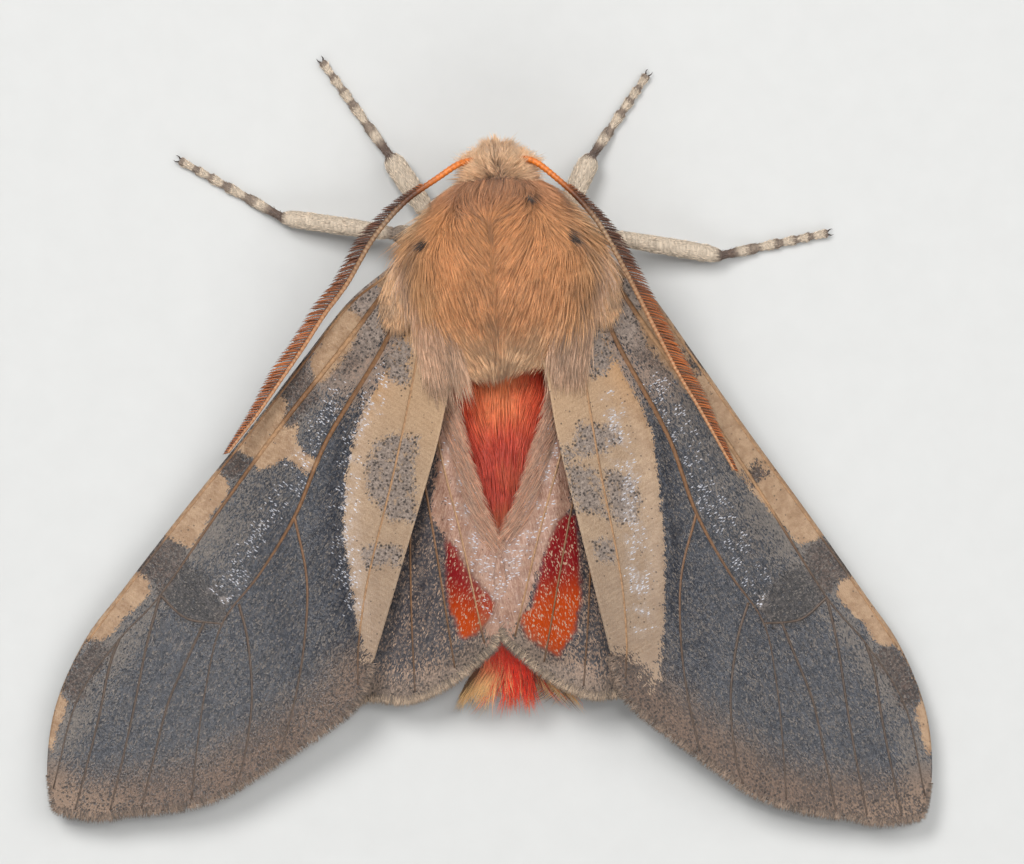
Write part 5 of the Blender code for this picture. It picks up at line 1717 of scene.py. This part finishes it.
def leg_tint(zone, grain):
    """Cream, with grey-brown where the tibia meets the foot and a ring at each foot joint."""
    tint = np.broadcast_to(PAINT["leg"], (*zone.shape, 3))
    knee = smoothstep(1.82, 1.92, zone + 0.04 * grain) * smoothstep(2.08, 2.0, zone)
    ankle = smoothstep(2.94, 2.98, zone + 0.02 * grain) * smoothstep(3.1, 3.06, zone)
    foot = (zone - 3) * 5
    ring = smoothstep(0.62, 0.78, foot - np.floor(foot) + 0.06 * grain) * (zone > 3.0)
    dark = np.maximum(np.maximum(0.7 * knee, ankle), 0.75 * ring)
    return blend(tint, PAINT["leg_ring"], np.clip(dark, 0, 1))


def horn_material():
    graph = Graph("claw_horn")
    place = object_place(graph)
    colour = graph.mix((22, 16, 14), (62, 40, 28), graph.noise(place, 3.0))
    return graph.finish(Base_Color=colour, Roughness=0.3)


def make_leg(name, skin, fur, horn):
    seed = 300 + sorted(LEGS).index(name)
    draw = np.random.default_rng(SEED + seed)
    path, radii, zone = leg_path(LEGS[name], TIBIA_RADII[name.split("_")[0]])
    sides = 14
    points = tube_points(path, radii, sides, floor=SOLE_CLEARANCE)
    grain = field(points, 0.5, seed)
    tint = leg_tint(np.repeat(zone[:, None], sides, axis=1), grain)
    solid("limb_" + name, points, skin, "leg_fur", "leg_" + name, tint)
    count = HAIRS["leg"]
    order = np.arange(len(path))
    at = draw.uniform(8, len(path) - 1.01, count)
    weight = np.interp(at, order, radii)
    at = at[draw.uniform(0, 0.6, count) < weight + 0.12]
    count = len(at)
    angle = draw.uniform(0, 2 * math.pi, count)
    step = np.concatenate(([0], np.cumsum(np.linalg.norm(np.diff(path, axis=0), axis=1))))
    start = np.interp(at, order, step)
    length = draw.uniform(0.16, 0.34, count)
    where = np.interp(at, order, zone)
    length = np.where(where > 3, 0.55 * length, length)
    share = np.linspace(0, 1, 4)[None]
    reach = np.minimum(start[:, None] + length[:, None] * share, step[-1] - 0.01)
    _, across, up = frame_along(path)
    spin = angle[:, None, None]
    out = sample(reach, step, across) * np.cos(spin) + sample(reach, step, up) * np.sin(spin)
    stand = (0.02 + 0.08 * draw.uniform(0, 1, count) ** 3)[:, None] * share**0.7
    height = np.interp(reach, step, radii) * 0.97 + stand
    paths = sample(reach, step, path) + out * height[..., None]
    paths[..., 2] = np.maximum(paths[..., 2], SOLE_CLEARANCE)
    grain = field(paths[:, 0], 0.5, seed)
    shade = leg_tint(where, grain) * draw.uniform(0.8, 1.12, (count, 1))
    uv = np.stack((where / 4.2, angle / (2 * math.pi)), axis=1)
    chance = draw.uniform(0, 1, count)
    widths = draw.uniform(0.014, 0.026, count)
    made = hairs("limb_fur_" + name, fur, paths, out[:, 0], widths, shade, chance, uv)
    placed(made, "leg_fur")
    make_claws(name, path, horn)


def make_claws(name, path, horn):
    """Two curved claws at the tip of a foot."""
    ahead = unit(path[-1] - path[-3])
    ahead[2] = 0
    across = np.array((-ahead[1], ahead[0], 0.0))
    share = np.linspace(0, 1, 9)[:, None]
    tubes = []
    for side in SIDES.values():
        apart = 0.07 + 0.2 * share * (1.3 - share)
        claw = path[-1] + ahead * CLAW_LENGTH * share + across * side * apart
        claw[:, 2] += 0.06 - 0.2 * share[:, 0] ** 2
        claw[:, 2] = np.maximum(claw[:, 2], SOLE_CLEARANCE)
        tubes.append(tube_points(claw, CLAW_RADIUS * (1 - 0.85 * share[:, 0]), 6))
    placed(build("claws_" + name, *joined(tubes), horn), "leg_fur")


# The right palp, from its root to its tip.
PALP_PATH = ((0.5, 5.3, 3.1), (0.5, 5.95, 2.75), (0.45, 6.4, 3.0))
PALP_RADII = (0.24, 0.24, 0.1)


def make_eyes():
    """Dark eyes with fine facets, sunk in the fur at the sides of the head."""
    graph = Graph("moth_eye")
    place = object_place(graph)
    facet = graph.cells(place, 14.0)[0]
    colour = graph.mix((16, 12, 12), (46, 30, 26), graph.noise(place, 1.4))
    graph.bump(graph.math("SUBTRACT", 1.0, facet), 0.35, 0.02 * MM)
    material = graph.finish(Base_Color=colour, Roughness=0.16, Coat_Weight=0.5)
    rings, sides = 26, 48
    turn = np.linspace(0, 2 * math.pi, sides, endpoint=False)
    tilt = np.linspace(-0.5, 0.5, rings)[:, None] * math.pi * 0.995
    wide = np.cos(tilt)
    ball = np.stack((np.sin(tilt) * np.ones(sides), wide * np.cos(turn), wide * np.sin(turn)), axis=-1)
    for side, sign in SIDES.items():
        points = ball * EYE_RADIUS * np.array((0.96 * sign, 1.0, 1.06))
        points = points + np.array((EYE_CENTRE[0] * sign, *EYE_CENTRE[1:]))
        solid("globe_" + side, points, material, "eye", "eye_" + side)


def make_palps(fur, skin):
    """Short furry palps under the face."""
    rings, sides, count = 24, 12, HAIRS["palp"]
    order, share = np.arange(rings), np.linspace(0, 1, 4)
    radii = np.interp(np.linspace(0, 1, rings), (0, 0.5, 1), PALP_RADII)
    for side, sign in SIDES.items():
        draw = np.random.default_rng(SEED + 400 + sign)
        path = smooth_path(np.array(PALP_PATH) * (sign, 1, 1), rings)
        tint = np.broadcast_to(PAINT["head"], (rings, sides, 3))
        points = tube_points(path, radii, sides)
        solid("palp_core_" + side, points, skin, "palp_fur", "palp_" + side, tint)
        at = draw.uniform(0, 15, count)
        angle = draw.uniform(0, 2 * math.pi, count)
        reach = np.minimum(at[:, None] + share * 7, rings - 1)
        centre = sample(reach, order, path)
        out = np.stack((np.cos(angle), np.zeros(count), np.sin(angle)), axis=1)
        height = np.interp(reach, order, radii) + 0.14 * share * draw.uniform(0.3, 1, (count, 1))
        paths = centre + out[:, None] * height[..., None]
        paths[:, -1] += unit(path[-1] - path[-4]) * draw.uniform(0, 0.12, (count, 1))
        shade = PAINT["head"] * draw.uniform(0.75, 1.1, (count, 1))
        uv = np.stack((at / rings, angle / (2 * math.pi)), axis=1)
        grow("palp_hair_" + side, "palp_fur", fur, paths, np.full(count, 0.02), shade, draw, uv, out)


# The camera looks straight down. The photo is turned a little, and its centre is not on the origin.
VIEW_CENTRE = (1.81, 0.59)
VIEW_TURN = 2.187
VIEW_WIDTH = 51.2
VIEW_PLANE = 3.0
VIEW_DISTANCE = 450.0


def make_camera():
    camera = bpy.data.cameras.new("camera")
    camera.sensor_width = 36.0
    camera.lens = camera.sensor_width * VIEW_DISTANCE / VIEW_WIDTH
    camera.clip_start, camera.clip_end = 0.01, 10.0
    thing = bpy.data.objects.new("camera", camera)
    thing.location = (VIEW_CENTRE[0] * MM, VIEW_CENTRE[1] * MM, (VIEW_PLANE + VIEW_DISTANCE) * MM)
    thing.rotation_euler = (0.0, 0.0, -math.radians(VIEW_TURN))
    bpy.context.scene.collection.objects.link(thing)
    bpy.context.scene.camera = thing


# Each light: its place in metres, its size in metres and its power in watts.
LIGHTS = {
    "key": ((-0.16, 0.24, 0.46), 0.25, 2.25),
    "fill": ((0.3, 0.1, 0.42), 0.4, 1.0),
    "rear": ((0.0, -0.38, 0.32), 0.4, 0.75),
    "front": ((0.05, 0.07, 0.5), 0.08, 0.5),
}
SKY_COLOUR = (0.9, 0.92, 0.95, 1.0)
SKY_STRENGTH = 0.3
FLOOR_HALF = 600.0


def make_lights():
    for name, (place, size, power) in LIGHTS.items():
        light = bpy.data.lights.new(name, "AREA")
        light.shape = "DISK"
        light.size, light.energy = size, power
        thing = bpy.data.objects.new(name, light)
        thing.location = place
        thing.rotation_euler = Vector(place).to_track_quat("Z", "Y").to_euler()
        bpy.context.scene.collection.objects.link(thing)
    world = bpy.data.worlds.new("studio")
    world.use_nodes = True
    sky = world.node_tree.nodes["Background"].inputs
    sky["Color"].default_value = SKY_COLOUR
    sky["Strength"].default_value = SKY_STRENGTH
    bpy.context.scene.world = world
    bpy.context.scene.view_settings.view_transform = "Standard"


def make_floor():
    graph = Graph("floor_card")
    grain = graph.noise(object_place(graph), 0.6, 2.0)
    colour = graph.mix((192, 192, 190), (197, 197, 195), grain)
    material = graph.finish(Base_Color=colour, Roughness=0.9)
    corners = FLOOR_HALF * np.array(((-1, -1, 0), (1, -1, 0), (1, 1, 0), (-1, 1, 0)))
    build("floor", corners, (np.array(((0, 1, 2, 3),)),), material)


make_camera()
make_lights()
make_floor()
make_skin()
make_coats()
make_wings()
feeler = grained_material("feeler", (None, 6.0, 3.0), (0.3, 0.7, 0.8, 1.25), (0.4, 0.02), 0.45)
plume = fur_material("feeler_comb", 0.4, 0.05)
for side in SIDES:
    make_shaft(side, feeler)
    make_comb(side, plume)
limb_skin, limb_fur, horn = skin_material(), fur_material("leg_hair", 0.5), horn_material()
for name in LEGS:
    make_leg(name, limb_skin, limb_fur, horn)
make_eyes()
make_palps(limb_fur, limb_skin)
